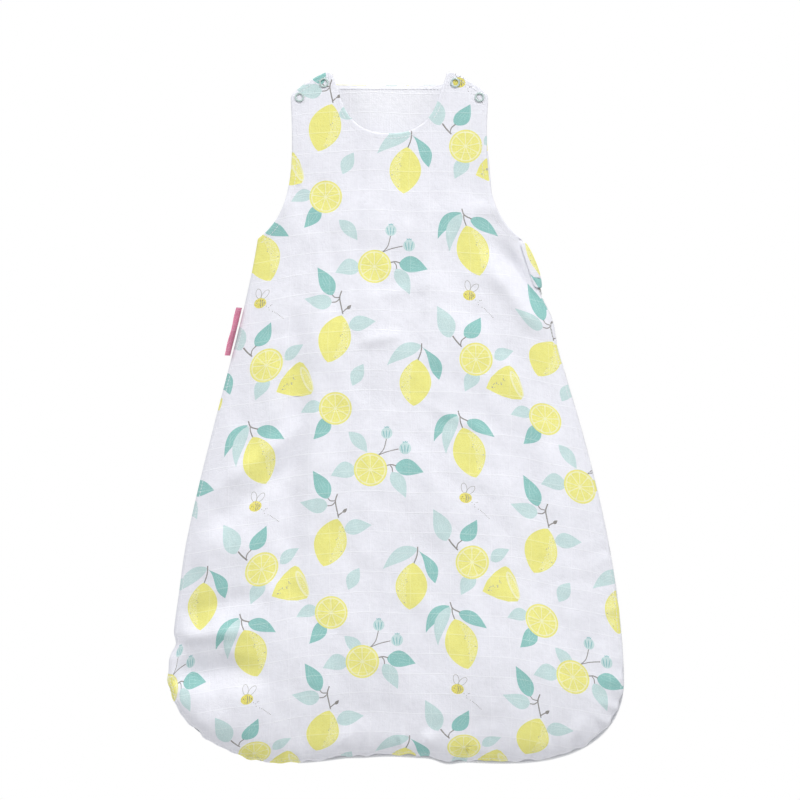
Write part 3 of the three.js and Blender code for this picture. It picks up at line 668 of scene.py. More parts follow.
def triangulate(outline, shapes, step):
    """Triangles that fill an outline, cut along the shapes: points, triangles, colour of each."""
    faces, coords = [list(range(len(outline)))], [outline]
    start = len(outline)
    for shape, _ in shapes:
        faces.append(list(range(start, start + len(shape))))
        coords.append(anticlockwise(shape))
        start += len(shape)
    low, high = outline.min(0), outline.max(0)
    across = np.arange(low[0], high[0], step)
    up = np.arange(low[1], high[1], step * 0.87)
    grid = np.array([(x + (step / 2 if row % 2 else 0), z) for row, z in enumerate(up) for x in across])
    grid = grid[inside(outline, grid)]
    coords.append(grid[nearest(closed_line(outline), grid)[0] > RINGS[-1] + step * 0.4])
    coords += ring_points(outline, RINGS, [1.6 + ring * 0.35 for ring in RINGS])
    coords = [Vector(p) for p in np.concatenate(coords)]
    points, _, found, _, _, owners = delaunay_2d_cdt(coords, [], faces, 1, 1e-4, True)
    points = np.array(points)
    triangles = np.array([face for face, owner in zip(found, owners) if 0 in owner])
    centres = points[triangles].mean(1)
    colours = np.full(len(triangles), "ground", object)
    for shape, colour in shapes:
        near = np.flatnonzero(((centres > shape.min(0)) & (centres < shape.max(0))).all(1))
        colours[near[inside(shape, centres[near])]] = colour
    used, index = np.unique(triangles, return_inverse=True)
    return points[used], index.reshape(triangles.shape), colours.tolist()


def rim(triangles):
    """The boundary of a triangulated area: its points in order, and the triangle behind each edge."""
    edges = {}
    for n, (a, b, c) in enumerate(triangles.tolist()):
        for edge in ((a, b), (b, c), (c, a)):
            edges[edge] = n
    outer = {a: (b, n) for (a, b), n in edges.items() if (b, a) not in edges}
    loops = []
    while outer:
        at = first = next(iter(outer))
        loop, behind = [], []
        while at in outer:
            onward, n = outer.pop(at)
            loop.append(at)
            behind.append(n)
            at = onward
        if at == first:
            loops.append((loop, behind))
    return max(loops, key=lambda found: len(found[0]))


def underside(rim_points, step):
    """Triangles that fill a rim without adding points to it: points, triangles, and the rim's own numbers."""
    low, high = rim_points.min(0), rim_points.max(0)
    grid = np.array([(x, z) for z in np.arange(low[1], high[1], step) for x in np.arange(low[0], high[0], step)])
    grid = grid[inside(rim_points, grid)]
    clear = grid[nearest(closed_line(rim_points), grid)[0] > 7.5]
    coords = np.concatenate([rim_points, clear] + ring_points(rim_points, (2.0, 5.0), (4.0, 4.0)))
    points, _, found, origins, _, owners = delaunay_2d_cdt(
        [Vector(p) for p in coords], [], [list(range(len(rim_points)))], 1, 1e-7, True)
    number = {first: n for n, firsts in enumerate(origins) for first in firsts}
    triangles = np.array([face for face, owner in zip(found, owners) if 0 in owner])
    return np.array(points), triangles, [number[n] for n in range(len(rim_points))]


def band(low, high, around):
    """Quads between two rings of points, given by each ring's first point."""
    return [(low + n, low + (n + 1) % around, high + (n + 1) % around, high + n) for n in range(around)]


def two_layers(lines, count):
    """Faces of a closed sheet made of two layers of points, each of some lines of count points."""
    faces, second = [], lines * count
    for base in (0, second):
        for line in range(lines - 1):
            for a in range(base + line * count, base + line * count + count - 1):
                quad = (a, a + count, a + count + 1, a + 1)
                faces.append(quad if base else quad[::-1])
    border = [line * count for line in range(lines)]
    border += [(lines - 1) * count + n for n in range(1, count)]
    border += [line * count + count - 1 for line in range(lines - 2, -1, -1)]
    border += list(range(count - 2, 0, -1))
    return faces + [(a, b, b + second, a + second) for a, b in zip(border, border[1:] + border[:1])]


def as_object(name, vertices, faces, keys, uvs=None, paint=None):
    """A smooth mesh object in metres from vertices in millimetres; paint numbers each face's material key."""
    mesh = bpy.data.meshes.new(name)
    mesh.from_pydata((np.asarray(vertices) * MM).tolist(), [], faces)
    for key in keys:
        mesh.materials.append(material(key))
    if paint is not None:
        mesh.polygons.foreach_set("material_index", np.array(paint, np.int32))
    if uvs is not None:
        layer = mesh.uv_layers.new(name="UVMap")
        corners = np.zeros(len(mesh.loops), np.int32)
        mesh.loops.foreach_get("vertex_index", corners)
        layer.data.foreach_set("uv", (np.asarray(uvs)[corners] * MM).astype(np.float32).ravel())
    mesh.polygons.foreach_set("use_smooth", np.ones(len(mesh.polygons), bool))
    mesh.validate()
    mesh.set_sharp_from_angle(angle=math.radians(52))
    obj = bpy.data.objects.new(name, mesh)
    bpy.context.collection.objects.link(obj)
    return obj


def cloth(name, outline, place, thickness, shapes=(), step=3.6, joins=None, outwards=1, ground="muslin",
          under="lining", under_step=6.0):
    """A padded piece of cloth. joins says which points lie on a line where it carries on as another piece."""
    loop = inset_loop(outline, thickness(outline) / 2)
    if joins is not None:
        loop[joins(outline), 1] = outline[joins(outline), 1]
    top, triangles, colours = triangulate(loop, shapes, step)
    rim_index, behind = rim(triangles)
    p = top[rim_index]
    onward = np.roll(p, -1, axis=0) - p
    flat = np.zeros(len(p), bool) if joins is None else joins(p)
    joined = flat & np.roll(flat, -1)                    # edges that lie on a join
    outward = -left_of(onward) * np.where(joined, 0, np.minimum(np.linalg.norm(onward, axis=1), 1))[:, None]
    outward = outward + np.roll(outward, 1, axis=0)
    length = np.linalg.norm(outward, axis=1, keepdims=True)
    outward = np.where(length > 1e-6, outward / np.maximum(length, 1e-6), 0)
    thick = thickness(p)
    under_points, under_triangles, under_rim = underside(p, under_step)

    flat_points, depths = [top], [np.zeros(len(top))]
    uvs = [top]
    rings = [list(rim_index)]
    start = len(top)
    for k in range(1, ROLL_STEPS):
        angle = math.pi * k / ROLL_STEPS
        flat_points.append(p + outward * (thick / 2 * math.sin(angle))[:, None])
        depths.append(thick / 2 * (1 - math.cos(angle)))
        uvs.append(p + outward * (thick / 2 * angle)[:, None])
        rings.append(list(range(start, start + len(p))))
        start += len(p)
    flat_points.append(under_points)
    depths.append(thickness(under_points))
    uvs.append(under_points)
    rings.append([start + n for n in under_rim])

    keys = [ground] + sorted(set(colours) - {"ground"}) + [under]
    key_of = {key: n for n, key in enumerate(keys)}
    key_of["ground"] = 0
    faces = [tuple(t) for t in triangles.tolist()]
    paint = [key_of[colour] for colour in colours]
    for k in range(ROLL_STEPS):
        a, b = rings[k], rings[k + 1]
        for i in range(len(p)):
            j = (i + 1) % len(p)
            faces.append((a[j], a[i], b[i], b[j]))
            paint.append(key_of[colours[behind[i]]] if k < ROLL_STEPS - 1 else len(keys) - 1)
    faces += [(a + start, c + start, b + start) for a, b, c in under_triangles.tolist()]
    paint += [len(keys) - 1] * len(under_triangles)
    if outwards < 0:
        faces = [face[::-1] for face in faces]
    vertices = place(np.concatenate(flat_points), np.concatenate(depths))
    return as_object(name, vertices, faces, keys, on_grain(np.concatenate(uvs)), paint)


# ---- Materials ----
def srgb(*levels):
    return tuple(((level / 255 + 0.055) / 1.055) ** 2.4 for level in levels)


WHITE = srgb(237, 237, 244)
CLOTHS = {                       # colour, speckle colour and share of speckles
    "muslin": (WHITE, None, 0),
    "lining": (srgb(244, 244, 249), None, 0),
    "tape": (srgb(228, 229, 235), None, 0),
    "lemon": (srgb(239, 235, 142), srgb(231, 223, 116), 0.34),
    "lemon_deep": (srgb(234, 225, 122), srgb(190, 176, 70), 0.4),
    "lemon_pale": (srgb(240, 236, 148), srgb(246, 244, 205), 0.34),
    "pith": (srgb(243, 241, 196), None, 0),
    "leaf_dark": (srgb(146, 198, 193), srgb(170, 212, 208), 0.3),
    "leaf_mid": (srgb(150, 198, 200), srgb(140, 190, 195), 0.5),
    "leaf_light": (srgb(198, 221, 221), srgb(210, 229, 228), 0.4),
    "vein_dark": (srgb(172, 213, 209), None, 0),
    "vein_light": (srgb(213, 231, 231), None, 0),
    "twig": (srgb(150, 147, 144), srgb(130, 126, 120), 0.4),
    "twig_pale": (srgb(176, 173, 170), srgb(160, 158, 152), 0.4),
    "ribbon": (srgb(226, 132, 164), srgb(238, 178, 198), 0.4),
}
MOULDED = {                      # colour, roughness, coat and how far light passes through
    "thread": (srgb(240, 240, 244), 0.8, 0.0, 0.0),
    "popper": (srgb(190, 208, 204), 0.28, 0.3, 0.1),
    "nylon": (srgb(228, 230, 235), 0.35, 0.1, 0.0),
}


def feed(tree, socket, value):
    """Gives an input its value, or links another node's output to it."""
    if hasattr(value, "links"):
        tree.links.new(value, socket)
    else:
        socket.default_value = value


def node(tree, kind, inputs=None, **settings):
    """A shader node, its inputs given by name or number as values or as outputs to link."""
    made = tree.nodes.new(kind)
    for key, value in settings.items():
        setattr(made, key, value)
    for key, value in (inputs or {}).items():
        feed(tree, made.inputs[key], value)
    return made


def maths(tree, operation, *values):
    return node(tree, "ShaderNodeMath", dict(enumerate(values)), operation=operation).outputs[0]


def noise(tree, where, scale, detail=2.0):
    return node(tree, "ShaderNodeTexNoise", {"Vector": where, "Scale": scale, "Detail": detail}).outputs["Fac"]


def map_range(tree, value, before=(0.0, 1.0), after=(0.0, 1.0), **settings):
    inputs = {"Value": value, "From Min": before[0], "From Max": before[1], "To Min": after[0], "To Max": after[1]}
    return node(tree, "ShaderNodeMapRange", inputs, **settings).outputs["Result"]


def on_grain(points):
    """Flat places on the cloth's own threads, which sink towards the sides."""
    u = points[:, 0] + 0.9 * np.sin(points[:, 1] / 23 + 1.1) + 0.5 * np.sin(points[:, 1] / 9.1)
    v = points[:, 1] - sink(points[:, 0]) + 1.1 * np.sin(points[:, 0] / 27 + 0.4) + 0.5 * np.sin(points[:, 0] / 11.3)
    return np.stack([u, v], 1)


def weave_group():
    """Height and window-pane lines of double muslin, from UVs in metres."""
    tree = bpy.data.node_groups.new("muslin_weave", "ShaderNodeTree")
    for label in ("Height", "Pane"):
        tree.interface.new_socket(label, in_out="OUTPUT", socket_type="NodeSocketFloat")
    uv = node(tree, "ShaderNodeUVMap", uv_map="UVMap").outputs[0]
    cut = node(tree, "ShaderNodeSeparateXYZ", {0: uv})
    wave = {"Vector": uv, "Scale": 2 * math.pi / (20 * WEAVE_PITCH * MM), "Distortion": 1.6, "Detail": 1.0,
            "Detail Scale": 0.35}
    threads = [node(tree, "ShaderNodeTexWave", wave, bands_direction=direction, wave_profile="SIN").outputs["Fac"]
               for direction in ("X", "Y")]
    lines = []
    for axis, strength in enumerate((0.55, 1.0)):
        swing = maths(tree, "PINGPONG", cut.outputs[axis], PANE_PITCH * MM / 2)
        lines.append(map_range(tree, swing, (0.0, 0.0007), (strength, 0.0), interpolation_type="SMOOTHSTEP"))
    pane = maths(tree, "MAXIMUM", *lines)
    slubs = []
    for stretch in ((60, 900, 1), (900, 60, 1)):
        where = node(tree, "ShaderNodeVectorMath", {0: uv, 1: stretch}, operation="MULTIPLY").outputs[0]
        slubs.append(noise(tree, where, 1.0, 1.5))
    layers = ((maths(tree, "MAXIMUM", *threads), 0.8), (pane, 1.3), (maths(tree, "MULTIPLY", *slubs), 2.0),
              (noise(tree, uv, 190.0), 3.2), (noise(tree, uv, 620.0), 1.8))
    parts = [maths(tree, "MULTIPLY", layer, share) for layer, share in layers]
    height = parts[0]
    for part in parts[1:]:
        height = maths(tree, "ADD", height, part)
    node(tree, "NodeGroupOutput", {"Height": height, "Pane": pane})
    return tree


WEAVE = weave_group()


def tint(tree, base, other, factor):
    """One colour turning into another by a factor; base and other are colours or sockets."""
    base, other = (value if hasattr(value, "links") else (*value, 1) for value in (base, other))
    return node(tree, "ShaderNodeMix", {6: base, 7: other, 0: factor}, data_type="RGBA").outputs[2]


def new_material(key, inputs):
    """A material, its node tree and its shader with some inputs set."""
    made = bpy.data.materials.new(key)
    made.use_nodes = True
    shader = made.node_tree.nodes["Principled BSDF"]
    for label, value in inputs.items():
        feed(made.node_tree, shader.inputs[label], value)
    return made, made.node_tree, shader


def add_bump(tree, shader, height, strength, distance):
    bump = node(tree, "ShaderNodeBump", {"Strength": strength, "Distance": distance, "Height": height})
    tree.links.new(bump.outputs["Normal"], shader.inputs["Normal"])


def cloth_material(key):
    colour, speckle, share = CLOTHS[key]
    made, tree, shader = new_material(key, {"Roughness": 0.88, "Sheen Weight": 0.12, "Specular IOR Level": 0.25})
    weave = node(tree, "ShaderNodeGroup", node_tree=WEAVE)
    # The colour darkens where the weave's height is low: partly the yarn's own uneven tone, partly painted shade in
    # the hollows of the weave and crinkle.
    threads = map_range(tree, weave.outputs["Height"], (1.6, 4.6))
    base = tint(tree, tuple(c * 0.9 for c in colour), colour, threads)
    if speckle:
        uv = node(tree, "ShaderNodeUVMap", uv_map="UVMap").outputs[0]
        spots = map_range(tree, noise(tree, uv, 1100.0), (0.66 - 0.3 * share, 0.74 - 0.3 * share))
        base = tint(tree, base, speckle, spots)
    lines = tuple(c + (0.9 - c) * 0.45 for c in colour)
    base = tint(tree, base, lines, maths(tree, "MULTIPLY", weave.outputs["Pane"], 0.42))
    tree.links.new(base, shader.inputs["Base Color"])
    add_bump(tree, shader, weave.outputs["Height"], 0.5, 0.0002)
    return made


def moulded_material(key):
    """Moulded plastic, or thread, with faint flow marks."""
    colour, roughness, coat, through = MOULDED[key]
    made, tree, shader = new_material(key, {
        "Coat Weight": coat, "Subsurface Weight": through, "Subsurface Radius": (0.002, 0.002, 0.002)})
    cloud = noise(tree, node(tree, "ShaderNodeTexCoord").outputs["Object"], 420.0)
    tree.links.new(tint(tree, tuple(c * 0.9 for c in colour), colour, cloud), shader.inputs["Base Color"])
    rough = map_range(tree, cloud, after=(roughness * 0.8, roughness * 1.2))
    tree.links.new(rough, shader.inputs["Roughness"])
    add_bump(tree, shader, cloud, 0.15, 0.0001)
    return made


MATERIALS = {}


def material(key):
    if key not in MATERIALS:
        MATERIALS[key] = cloth_material(key) if key in CLOTHS else moulded_material(key)
    return MATERIALS[key]


# ---- The cut pieces' outlines ----
def up_to(line, z):
    """The part of a rising line below a height, ending exactly there."""
    below = line[line[:, 1] < z - 0.2]
    x = np.interp(z, line[:, 1], line[:, 0])
    return np.concatenate([below, [(x, z)]])


def above(line, z):
    rest = line[line[:, 1] > z + 0.2]
    x = np.interp(z, line[:, 1], line[:, 0])
    return np.concatenate([[(x, z)], rest])


def front_outline():
    arm = up_to(armhole_right[1:], TAB_BASE_Z)
    neck = up_to(neck_right, TAB_BASE_Z)
    right_join = np.linspace(arm[-1], neck[-1], 14)[1:-1]
    left_join = mirrored(right_join)[::-1]
    return chain(EDGES["front"], arm, right_join, neck[::-1], mirrored(neck)[1:], left_join, mirrored(arm)[::-1])


def tab_outline(side):
    arm = above(armhole_right, TAB_BASE_Z)
    neck = above(neck_right, TAB_BASE_Z)
    outer, inner = np.array(SHOULDER_OUTER), np.array(SHOULDER_INNER)
    crown = (outer + inner) / 2 + (1.2, 2.2)             # the top line bows up a little
    outer_turn = bezier(outer - (0.4, 5), outer - (0.1, 2), outer + (-1.2, 0.6), outer + (-4.6, 2.9), 6)
    top = bezier(outer + (-4.6, 2.9), crown + (6, -3), crown + (-6, 3.2), inner + (4.8, -1.6), 12)
    inner_turn = bezier(inner + (4.8, -1.6), inner + (2, -0.2), inner + (-0.6, -1.8), inner + (-1.9, -5.2), 6)
    base = np.linspace(neck[0], arm[0], 14)[1:-1]
    arm = arm[arm[:, 1] < outer[1] - 5.5]
    neck = neck[neck[:, 1] < inner[1] - 5.8]
    loop = chain(base, arm, outer_turn, top, inner_turn, neck[::-1])
    return loop if side > 0 else mirrored(loop)[::-1]


def back_armhole(side):
    arm = armhole_right[1:]
    arm = arm[arm[:, 1] < -36]
    if side > 0:                                         # it shows a little beside the front here
        arm = arm + np.stack([2.6 * np.exp(-((arm[:, 1] + 98) / 26) ** 2), np.zeros(len(arm))], 1)
    arm[:, 0] -= 0.9 * smooth((arm[:, 1] + 70) / 30)
    return arm


def back_outline():
    sides = []
    for side in (1, -1):
        outer, inner = STRAP_FOLD["outer_x"], STRAP_FOLD["inner_x"]
        def end(x):
            return 2 * strap_fold_start(x) + FOLD_LENGTH - STRAP_FOLD["end_z"]
        up = np.stack([np.full(16, outer), np.linspace(-34, end(outer), 16)], 1)
        across = np.linspace((outer, end(outer)), (inner, end(inner)), 12)
        down = np.stack([np.full(20, inner), np.linspace(end(inner), NECK_BACK_Z + 5, 20)], 1)
        turn = bezier((inner, NECK_BACK_Z + 5), (inner, NECK_BACK_Z + 2), (inner - 2, NECK_BACK_Z),
                      (inner - 7, NECK_BACK_Z), 8)
        sides.append(chain(back_armhole(side), up, across, down, turn))
    neck = np.stack([np.linspace(48, -48, 26), np.full(26, NECK_BACK_Z)], 1)
    neck[:, 1] -= 0.8 * np.cos(neck[:, 0] / 48 * math.pi / 2)
    return chain(EDGES["back"], sides[0], neck, mirrored(sides[1])[::-1])


def on_tab_base(points):
    return np.abs(points[:, 1] - TAB_BASE_Z) < 1e-3


def quilt(points):
    """Thickness of the front, which thins towards the tabs."""
    return QUILT + (TAB_THICK - QUILT) * smooth((points[:, 1] + 80) / 32)


def back_quilt(points):
    return QUILT + (STRAP_THICK - QUILT) * smooth((points[:, 1] + 80) / 45)


def steady(amount):
    return lambda points: np.full(len(points), amount)


def below(place, thickness):
    """Places cloth under another piece of cloth."""
    return lambda points, depth: place(points, depth + thickness(points) + LINING_GAP)


# ---- Stitching ----
def stitches(name, lines, place, lift=0.12):
    """Rows of thread stitches lying on a placed cloth."""
    across, along_share = 6, ((0.0, 0.35), (0.18, 0.95), (0.5, 1.0), (0.82, 0.95), (1.0, 0.35))
    vertices, faces = [], []
    for line in lines:
        spots = evenly(line, STITCH["pitch"])
        if len(spots) < 3:
            continue
        here = (spots[:-1] + spots[1:]) / 2
        direction = unit(spots[1:] - spots[:-1])
        a = place(here - direction * STITCH["length"] / 2, np.full(len(here), -lift))
        b = place(here + direction * STITCH["length"] / 2, np.full(len(here), -lift))
        for start, end in zip(a, b):
            ahead = unit(end - start)
            side = unit(np.cross(ahead, (0, 1, 0)))
            out = np.cross(side, ahead)
            first = len(vertices)
            for share, width in along_share:
                for n in range(across):
                    angle = 2 * math.pi * n / across
                    ring = side * math.cos(angle) + out * math.sin(angle) * 0.8
                    vertices.append(start + (end - start) * share + ring * STITCH["radius"] * width)
            for k in range(len(along_share) - 1):
                faces += band(first + k * across, first + (k + 1) * across, across)
            faces.append(tuple(first + n for n in reversed(range(across))))
            last = first + (len(along_share) - 1) * across
            faces.append(tuple(last + n for n in range(across)))
    return as_object(name, vertices, faces, ["thread"])


def build_front():
    outline = front_outline()
    shapes = printed(outline)
    front = cloth("front_cloth", outline, front_place, quilt, shapes, joins=on_tab_base)
    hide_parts("front_shell", "front_wadding", "side_shell", "side_wadding")
    lined = inset_loop(outline, LINING_INSET["front"])
    lined[on_tab_base(outline), 1] = TAB_BASE_Z
    lining = cloth("front_lining_cloth", lined, below(front_place, quilt), steady(LINING_THICK),
                   step=6.0, joins=on_tab_base, ground="lining")
    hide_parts("front_lining", "side_lining")
    arm = up_to(armhole_right[1:], TAB_BASE_Z)
    neck = up_to(neck_right, TAB_BASE_Z)
    rows = [
        inset_line(arm, STITCH_INSET["arm"]),
        inset_line(mirrored(arm), -STITCH_INSET["arm"]),
        inset_line(neck, -STITCH_INSET["neck"]),
        inset_line(mirrored(neck), STITCH_INSET["neck"]),
        inset_line(EDGES["front"][12:-8], STITCH_INSET["seam"]),
    ]
    thread = stitches("front_topstitching", rows, front_place)
    for piece, slot in ((front, "muslin"), (lining, "lining"), (thread, "muslin")):
        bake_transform(piece)


def build_tab(name, side):
    outline = tab_outline(side)
    tab = cloth(f"front_tab_cloth_{name}", outline, front_place, quilt, printed(outline), step=2.4,
                joins=on_tab_base, under_step=4.0)
    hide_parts(f"front_tab_{name}", f"tab_patch_{name}", f"front_tab_lining_{name}")
    free = inset_loop(outline, STITCH_INSET["tab"])
    free = free[~on_tab_base(outline)]
    free = free[free[:, 1] > TAB_BASE_Z]
    thread = stitches(f"tab_topstitching_{name}", [free], front_place)
    for piece in (tab, thread):
        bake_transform(piece)


# ---- Back, with its straps, lining and stitching ----
def build_back():
    outline = back_outline()
    back = cloth("back_cloth", outline, back_place, back_quilt, printed(outline, flip=True), outwards=-1)
    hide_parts("back_shell", "back_wadding", "back_strap_left", "back_strap_right",
                "strap_patch_left", "strap_patch_right")
    lined = inset_loop(outline, LINING_INSET["back"])
    lining = cloth("back_lining_cloth", lined, below(back_place, back_quilt),
                   steady(LINING_THICK), step=6.0, outwards=-1, ground="lining")
    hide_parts("back_lining", "back_strap_lining_left", "back_strap_lining_right")
    neck = np.stack([np.linspace(50, -50, 40), np.full(40, NECK_BACK_Z - STITCH_INSET["neck"])], 1)
    rows = [inset_line(back_armhole(1), STITCH_INSET["arm"]),
            inset_line(mirrored(back_armhole(-1)), -STITCH_INSET["arm"]),
            neck, inset_line(EDGES["back"][12:-8], STITCH_INSET["seam"])]
    thread = stitches("back_topstitching", rows, back_place)
    inner = stitches("back_neck_stitching", [neck + (0, 0.5)], lambda p, d: back_place(p, back_quilt(p) + 1.1 - d))
    for piece, slot in ((back, "muslin"), (lining, "lining"), (thread, "muslin"), (inner, "lining")):
        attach(piece, "root")


# ---- Zip ----
zip_run = chain(
    [(seam_x(seam_right, ZIP_TOP_Z), ZIP_TOP_Z)],
    seam_right[seam_right[:, 1] < ZIP_TOP_Z],
    seam_left[::-1][seam_left[::-1, 0] > ZIP_END_X],
)


def ribbon(name, line, wide, y, thick, key, wobble=0.0, ends=(0, 1)):
    """A flat tape along a line, between two distances to the line's right, as a closed mesh."""
    spots = evenly(line, 4.0)
    spots = spots[int(len(spots) * ends[0]):int(len(spots) * ends[1])]
    columns = np.linspace(wide[0], wide[1], 6)
    rows = [inset_line(spots, -column) for column in columns]
    vertices, uvs = [], []
    for layer in (-0.5, 0.5):
        for column, row in zip(columns, rows):
            for n, point in enumerate(row):
                shift = wobble * math.sin(n * 0.9 + column * 0.3) * (column - wide[0]) / (wide[1] - wide[0])
                vertices.append((point[0], y + thick * layer + shift, point[1]))
                uvs.append((column, n * 4.0))
    faces = two_layers(len(columns), len(spots))
    return as_object(name, vertices, faces, [key], uvs)


def coil(name, y, hand):
    """A nylon zip coil: a flattened helix along the zip's line."""
    pitch, turn_points, thread_points = 1.5, 8, 5
    centre = evenly(inset_line(zip_run, -1.2), pitch / turn_points)
    along = centre[2:] - centre[:-2]
    along = unit(np.concatenate([along[:1], along, along[-1:]]))
    out = np.stack([along[:, 1], -along[:, 0]], 1)
    angle = 2 * math.pi * np.arange(len(centre)) / turn_points * hand
    flat = np.zeros((len(centre), 3))
    flat[:, 0] = centre[:, 0] + out[:, 0] * 1.0 * np.cos(angle)
    flat[:, 2] = centre[:, 1] + out[:, 1] * 1.0 * np.cos(angle)
    flat[:, 1] = y + 0.42 * np.sin(angle)
    tangent = unit(np.gradient(flat, axis=0))
    side = unit(np.cross(tangent, (0, 1, 0.001)))
    up = np.cross(side, tangent)
    vertices = np.zeros((len(centre), thread_points, 3))
    for n in range(thread_points):
        turn = 2 * math.pi * n / thread_points
        vertices[:, n] = flat + 0.26 * (side * math.cos(turn) + up * math.sin(turn))
    faces = []
    for k in range(len(centre) - 1):
        for n in range(thread_points):
            m = (n + 1) % thread_points
            a, b = k * thread_points, (k + 1) * thread_points
            faces.append((a + n, b + n, b + m, a + m))
    faces.append(tuple(range(thread_points)))
    last = (len(centre) - 1) * thread_points
    faces.append(tuple(last + n for n in reversed(range(thread_points))))
    return as_object(name, vertices.reshape(-1, 3), faces, ["nylon"])


def zip_stop(name, cad, length):
    """A small rounded clamp round the coils."""
    low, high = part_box(cad)
    centre = np.array([(low.x + high.x) / 2, (low.y + high.y) / 2, (low.z + high.z) / 2]) / MM
    half = np.array([length / 2, 1.5, 1.1]) if cad == "zip_bottom_stop" else np.array([1.1, 1.5, length / 2])
    if cad == "zip_bottom_stop":
        centre[2] += 1.6                                 # tucked in above the hem's edge
    vertices, faces = [], []
    rings, around = 8, 20
    for i in range(rings + 1):
        v = -math.pi / 2 + math.pi * i / rings
        for j in range(around):
            u = 2 * math.pi * j / around
            unit = np.array([math.cos(v) * math.cos(u), math.cos(v) * math.sin(u), math.sin(v)])
            unit = np.sign(unit) * np.abs(unit) ** 0.5
            vertices.append(centre + half * unit)
    for i in range(rings):
        faces += band(i * around, (i + 1) * around, around)
    stop = as_object(name, vertices, faces, ["nylon"])
    weld = stop.modifiers.new("weld", "WELD")
    weld.merge_threshold = 0.00002
    return stop


def fasten(piece, cad, body):
    """Hides the CAD node that a piece stands for, and hangs the piece on the body that it rides on."""
    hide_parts(cad)
    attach(piece, body)


def build_zip():
    """Two tapes with their coils, the shield behind them, the stops and the binding of the sewn side."""
    for name, y, body, hand in (("front", -0.8, "front_leaf", 1), ("back", 0.8, "root", -1)):
        tape = ribbon(f"zip_tape_{name}_cloth", zip_run, (2.0, 12.0), y, 0.5, "tape")
        fasten(tape, f"zip_tape_{name}", body)
        fasten(coil(f"zip_teeth_{name}", y * 0.95, hand), f"zip_coil_{name}", body)
    shield = ribbon("zip_shield_cloth", zip_run, (14.0, 32.0), 0.0, 0.8, "lining", wobble=0.8, ends=(0.02, 0.97))
    fasten(shield, "zip_shield", "root")
    for cad, length in (("zip_bottom_stop", 3.4), ("zip_top_stop", 3.0)):
        fasten(zip_stop(f"{cad}_moulded", cad, length), cad, "root")
    seam_run = seam_left[seam_left[:, 0] < ZIP_END_X - 8]
    seam = ribbon("seam_binding", seam_run, (-8.0, -3.2), 0.0, 0.6, "lining", ends=(0.01, 1))
    fasten(seam, "side_seam", "root")


# ---- Guard and label ----
HOOD = {"section": ((-4.6, 1.3), (0.5, -3.6), (8.6, -2.2), (6.6, 7.0)), "thick": 1.5, "bulge": 5.4}


def guard_place(points, depth):
    """Flat cloth (distance round the hood, height) on the hood over the zip's top."""
    g, z = points.T
    line = bezier(*HOOD["section"])
    lengths = run_along(line)
    normals = inset_line(line, 1.0) - line
    out = np.interp(g, lengths, line[:, 0]) + depth * np.interp(g, lengths, normals[:, 0])
    y = np.interp(g, lengths, line[:, 1]) + depth * np.interp(g, lengths, normals[:, 1])
    share = np.clip((z - GUARD_Z[0]) / (GUARD_Z[1] - GUARD_Z[0]), 0, 1)
    swell = np.sin(math.pi * share ** 0.8) ** 0.6        # full in the middle, drawn in at both ends
    edge = seam_x(seam_right, z)
    lip = -outer_depth("front", np.stack([edge - 5.2, z], 1)) - 1.9
    across = np.where(out > 0, out * (0.32 + 0.68 * swell), out)
    forward = smooth(1 - g / lengths[-1])
    return np.stack([edge + across, lip * forward + y * (1 - 0.3 * forward), z], 1)


def build_guard():
    low, high = GUARD_Z
    around = run_along(bezier(*HOOD["section"]))[-1]
    loop = []
    corners = ((around - 3, low + 3, -90), (around - 3, high - 3, 0), (3, high - 3, 90), (3, low + 3, 180))
    for cx, cz, start in corners:
        for k in range(7):
            angle = math.radians(start + 15 * k)
            loop.append((cx + 3 * math.cos(angle), cz + 3 * math.sin(angle)))
    loop = evenly(np.array(loop + loop[:1]), 1.3)[:-1]
    shapes = lemon((10.5, -165), (12.4, -205), 13.5, pale=-1)
    half_leaf = np.array([(0.5, -203.5), (4, -206.6), (13, -207.6), (17, -216), (12, -218), (5, -217.4)])
    shapes.append((half_leaf, "leaf_dark"))
    guard = cloth("zip_guard_cloth", loop, guard_place, steady(HOOD["thick"]), shapes, step=1.8, under_step=3.0,
                  under="muslin")
    fasten(guard, "zip_guard", "guard")


def build_label():
    low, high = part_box("side_label")
    tilt = math.radians(67)
    width, thick = 11.0, 0.4
    out = np.array([-math.cos(tilt), -math.sin(tilt), 0])
    across = np.array([-math.sin(tilt), math.cos(tilt), 0])
    section = [(0, -0.35), (5, -0.38), (width - 1.2, -0.36)]
    for k in range(7):                                   # the ribbon's fold at its free end
        angle = -math.pi / 2 + math.pi * k / 6
        section.append((width - 0.6 + 0.5 * math.cos(angle), 0.36 * math.sin(angle)))
    section += [(width - 1.2, 0.36), (5, 0.38), (0, 0.35)]
    section = np.array(section)
    normals = unit(inset_line(section, thick / 2) - inset_line(section, -thick / 2))
    rows = np.linspace(high.z / MM, low.z / MM, 25)
    edge = seam_x(seam_left, rows) - 1
    vertices, uvs = [], []
    for layer in (-1, 1):
        for (reach, side), normal in zip(section, normals):
            for n, z in enumerate(rows):
                curl = 0.35 * math.sin(n * 0.45) * reach / width
                r, s = reach + normal[0] * layer * thick / 2, side + normal[1] * layer * thick / 2 + curl
                vertices.append(np.array([edge[n], -0.5, z]) + out * r + across * s)
                uvs.append((r + (40 if layer > 0 else 0), z))
    faces = [face[::-1] for face in two_layers(len(section), len(rows))]
    label = as_object("side_label_ribbon", vertices, faces, ["ribbon"], uvs)
    fasten(label, "side_label", "label")


